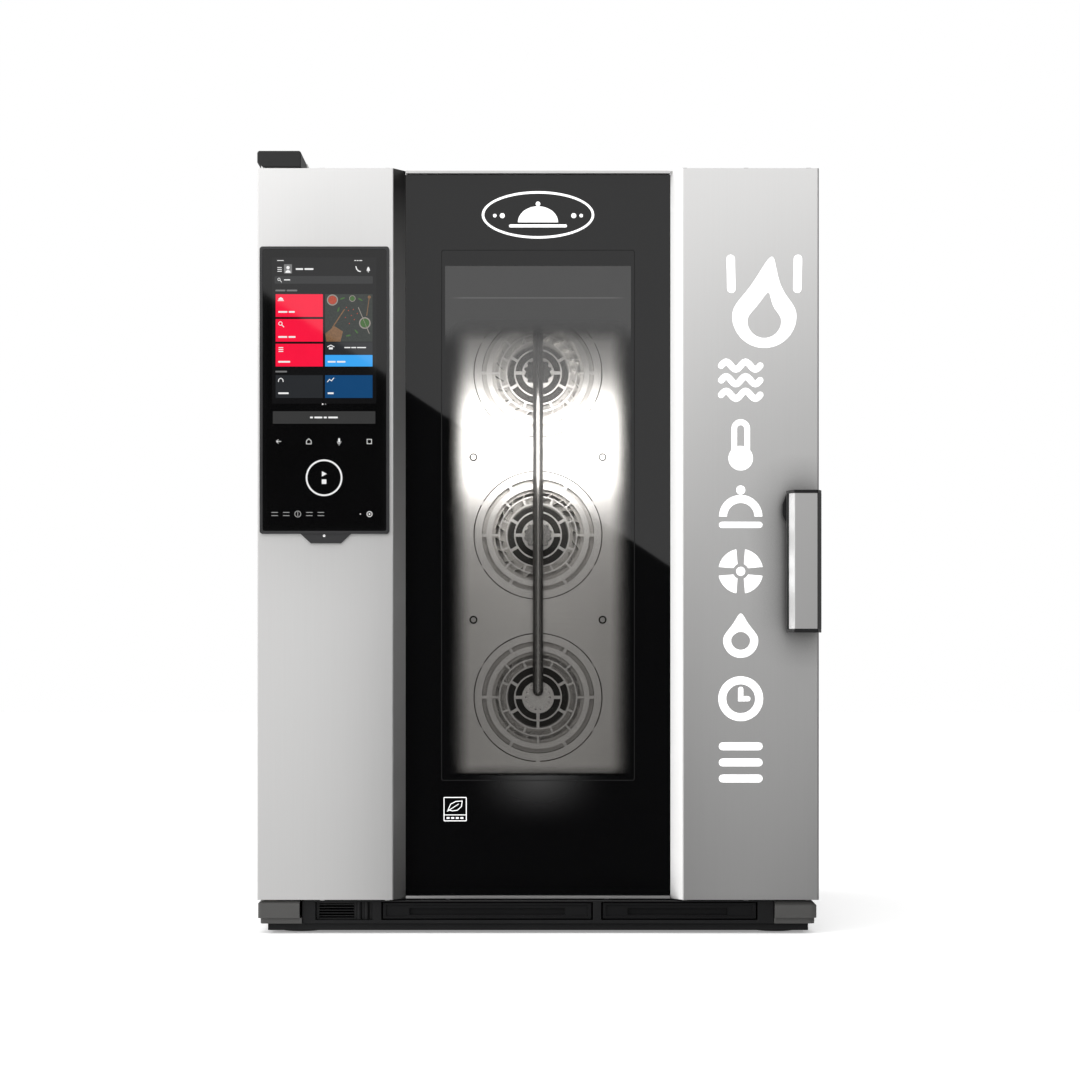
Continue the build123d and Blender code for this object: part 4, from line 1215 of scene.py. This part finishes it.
# ---------------------------------------------------------------- diffusers on the light bars
def lamp_diffusers():
    """An upright strip on each light bar, bulging towards the middle of the door."""
    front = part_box("led_light_bars")[0].y + 0.0045
    depth = 0.017
    flat_x, bulge, overlap = 0.1688, 0.0022, 0.0001
    shape = bmesh.new()
    for side in (-1, 1):
        profile = [(side * (flat_x - bulge * math.sin(math.pi * k / 8.0)),
                    front + depth * k / 8.0) for k in range(9)]
        profile += [(side * (flat_x + overlap), front + depth),
                    (side * (flat_x + overlap), front)]
        low = [shape.verts.new((x, y, 0.206)) for x, y in profile]
        high = [shape.verts.new((x, y, 0.894)) for x, y in profile]
        shape.faces.new(low)
        shape.faces.new(high[::-1])
        for i in range(len(profile)):
            j = (i + 1) % len(profile)
            shape.faces.new((low[i], low[j], high[j], high[i]))
    door_part(shape, "lamp_diffusers", finish["diffuser"])


lamp_diffusers()

# ---------------------------------------------------------------- cards mirrored by the door
CAMERA_DISTANCE = 4.104    # from the front of the right door panel
CAMERA_Z = 0.379
camera_y = panel_front - CAMERA_DISTANCE
CARD_TOP = 2.4
SIDE_CARD_BOTTOM = -0.6
SIDE_CARD_DISTANCE = 0.6
FRONT_CARD_DISTANCE = 1.5


def card(name, points, faces):
    """Glowing card that only reflections see; returns its tree and emission node."""
    mesh = bpy.data.meshes.new(name)
    mesh.from_pydata(points, [], faces)
    sheet = bpy.data.objects.new(name, mesh)
    scene.collection.objects.link(sheet)
    tree = new_material(name + "_mat")
    emission = tree.add("ShaderNodeEmission")
    emission.inputs["Color"].default_value = grey(1)
    emission.inputs["Strength"].default_value = 1.0
    mesh.materials.append(tree.finish(emission))
    sheet.visible_camera = False
    sheet.visible_diffuse = False
    sheet.visible_shadow = False
    sheet.visible_transmission = False
    return tree, emission


def mirrored_at(x, z):
    """The point on the front card whose mirror image stands at x, z on the door glass."""
    spread = 1 + FRONT_CARD_DISTANCE / (glass_low.y - camera_y)
    return x * spread, glass_low.y - FRONT_CARD_DISTANCE, CAMERA_Z + (z - CAMERA_Z) * spread


def front_card():
    """Large soft panel whose lower edge runs down to the right."""
    left_x, left_z = -0.517786, 0.956169
    right_x, right_z = 0.489762, 0.282247
    points = [mirrored_at(left_x, left_z), mirrored_at(right_x, right_z),
              mirrored_at(right_x + 0.2, CARD_TOP), mirrored_at(left_x - 0.1, CARD_TOP)]
    card("soft_panel_front", points, [[0, 1, 2, 3]])


def side_card(name, points, faces, stops):
    """Card in front of one door panel; points are (x, z), stops are (z, strength)."""
    y = panel_front - SIDE_CARD_DISTANCE
    tree, emission = card(name, [(x, y, z) for x, z in points], faces)
    _, _, z = tree.axes(tree.coords())
    height_share = tree.rise(z, start=SIDE_CARD_BOTTOM, end=CARD_TOP)
    strongest = max(strength for _, strength in stops)
    span = CARD_TOP - SIDE_CARD_BOTTOM
    level = tree.ramp(height_share, [((stop_z - SIDE_CARD_BOTTOM) / span, strength / strongest)
                                     for stop_z, strength in stops])
    tree.put(emission.inputs["Strength"], tree.times(level, strongest))


def left_card():
    """Left open where the screen would mirror it."""
    spread = (SIDE_CARD_DISTANCE + CAMERA_DISTANCE) / CAMERA_DISTANCE
    margin = 0.002
    columns = [-1.5, screen_low.x * spread - margin, screen_high.x * spread + margin, -0.215]
    rows = [SIDE_CARD_BOTTOM,
            CAMERA_Z + (screen_low.z - CAMERA_Z) * spread - margin,
            CAMERA_Z + (screen_high.z - CAMERA_Z) * spread + margin,
            CARD_TOP]
    points = [(x, z) for z in rows for x in columns]
    faces = [(4 * j + i, 4 * j + i + 1, 4 * j + i + 5, 4 * j + i + 4)
             for j in range(3) for i in range(3) if (i, j) != (1, 1)]
    stops = [(0.0, 0.66), (0.20, 0.75), (0.60, 0.75), (0.95, 1.05), (1.2, 1.30)]
    side_card("soft_box_left", points, faces, stops)


def right_card():
    """Narrow at its foot and wide at its top."""
    points = [(0.215, SIDE_CARD_BOTTOM), (0.22, SIDE_CARD_BOTTOM), (1.0, CARD_TOP),
              (0.215, CARD_TOP)]
    stops = [(0.02, 0.23), (0.15, 0.33), (0.302, 0.41), (0.455, 0.46), (0.608, 0.50),
             (0.761, 0.57), (0.914, 0.72), (1.10, 1.02)]
    side_card("soft_box_right", points, [[0, 1, 2, 3]], stops)


front_card()
left_card()
right_card()


# ---------------------------------------------------------------- world
def room_strength(tree, direction):
    """Brightness of the mirrored room: strong on the left and above, dim right and below."""
    x, y, z = tree.axes(direction)
    # 0 in a small dark window behind the camera, 1 elsewhere.
    off_camera = tree.rise(y, start=-0.992, end=-0.955, smooth=True)
    left = tree.rise(x, start=-0.12, end=-0.60, smooth=True)
    right = tree.times(tree.rise(x, start=0.12, end=0.50, smooth=True),
                       tree.fall(y, start=0.05, end=0.5, smooth=True))
    above = tree.rise(z, start=0.05, end=0.7, smooth=True)
    below = tree.rise(z, start=-0.02, end=-0.30, smooth=True)
    strength = tree.vary(base=0.55, pattern=left, amount=0.95)
    strength = tree.minus(strength, tree.times(right, 0.42))
    strength = tree.vary(strength, pattern=above, amount=0.45)
    strength = tree.times(strength, tree.minus(1.0, tree.times(below, 0.62)))
    return tree.times(strength, tree.vary(base=0.02, pattern=off_camera, amount=0.98))


def build_world():
    """White for the camera, even light for diffuse rays, a graded room for the others."""
    world = bpy.data.worlds.new("studio")
    scene.world = world
    tree = ShaderTree(world, "ShaderNodeOutputWorld")
    direction = tree.add("ShaderNodeTexCoord").outputs["Generated"]
    strength = room_strength(tree, direction)
    room = tree.add("ShaderNodeBackground")
    tree.put(room.inputs["Strength"], strength)
    even = tree.add("ShaderNodeBackground")
    even.inputs["Color"].default_value = grey(1)
    even.inputs["Strength"].default_value = 0.85
    backdrop = tree.add("ShaderNodeBackground")
    backdrop.inputs["Color"].default_value = grey(1)
    backdrop.inputs["Strength"].default_value = 1.0
    ray = tree.add("ShaderNodeLightPath").outputs
    unseen = tree.mix_shaders(ray["Is Diffuse Ray"], room, even)
    tree.finish(tree.mix_shaders(ray["Is Camera Ray"], unseen, backdrop))


build_world()


# ---------------------------------------------------------------- lights
def area_light(name, place, target, size, power, colour=(1, 1, 1), spread=180):
    light = bpy.data.lights.new(name, "AREA")
    light.shape = "RECTANGLE"
    light.size, light.size_y = size
    light.energy = power
    light.color = colour
    light.spread = math.radians(spread)
    lamp = bpy.data.objects.new(name, light)
    scene.collection.objects.link(lamp)
    lamp.location = place
    aim = Vector(target) - Vector(place)
    lamp.rotation_euler = aim.to_track_quat("-Z", "Y").to_euler()
    lamp.visible_camera = False
    return lamp


WARM = (1.0, 0.985, 0.96)
key_light = area_light("key_left", place=(-1.7, -1.7, 1.0), target=(0.0, -0.3, 0.5),
                       size=(1.2, 1.8), power=17)
top_light = area_light("top_fill", place=(0.0, -0.9, 2.6), target=(0, -0.2, 0.5),
                       size=(2.2, 1.6), power=26)
key_light.visible_glossy = False
top_light.visible_glossy = False
# Inside the chamber, aimed back at the fan guard.
area_light("chamber_light", place=(0.0, guard_front - 0.25, 0.715),
           target=(0, guard_front, 0.685), size=(0.26, 0.14), power=0.56, colour=WARM,
           spread=125)
area_light("chamber_fill", place=(0.0, guard_front - 0.40, 0.40),
           target=(0, guard_front, 0.36), size=(0.30, 0.50), power=0.19, colour=WARM)


# ---------------------------------------------------------------- floor and camera
def build_floor():
    """White floor that glows a little and is not mirrored."""
    shape = bmesh.new()
    corners = ((-12, -8, 0), (12, -8, 0), (12, 14, 0), (-12, 14, 0))
    shape.faces.new([shape.verts.new(corner) for corner in corners])
    mesh = bpy.data.meshes.new("floor")
    shape.to_mesh(mesh)
    shape.free()
    floor = bpy.data.objects.new("floor", mesh)
    scene.collection.objects.link(floor)
    tree = new_material("floor_mat")
    cloud = tree.noise(tree.coords(), scale=3.0, detail=3.0)
    surface = tree.principled(tree.mix(cloud, grey(0.93), grey(0.96)), roughness=0.65)
    glow = tree.add("ShaderNodeEmission")
    glow.inputs["Strength"].default_value = 0.30
    total = tree.add("ShaderNodeAddShader")
    tree.put(total.inputs[0], surface.outputs[0])
    tree.put(total.inputs[1], glow.outputs[0])
    mesh.materials.append(tree.finish(total))
    floor.visible_glossy = False


def build_camera():
    """Level camera; its view is shifted up and a little to the right at the door front."""
    view_width = 1.44126
    shift_right = 0.002669
    shift_up = 0.146795
    lens = bpy.data.cameras.new("camera")
    camera = bpy.data.objects.new("camera", lens)
    scene.collection.objects.link(camera)
    camera.location = (0.0, camera_y, CAMERA_Z)
    camera.rotation_euler = (math.radians(90), 0, 0)
    lens.sensor_width = 36.0
    lens.sensor_fit = "HORIZONTAL"
    lens.lens = 36.0 * CAMERA_DISTANCE / view_width
    lens.shift_x = shift_right / view_width
    lens.shift_y = shift_up / view_width
    lens.clip_start = 0.05
    lens.clip_end = 100
    scene.camera = camera


build_floor()
build_camera()

scene.view_settings.view_transform = "Standard"
scene.view_settings.look = "None"
scene.view_settings.exposure = 0.0
scene.view_settings.gamma = 1.0
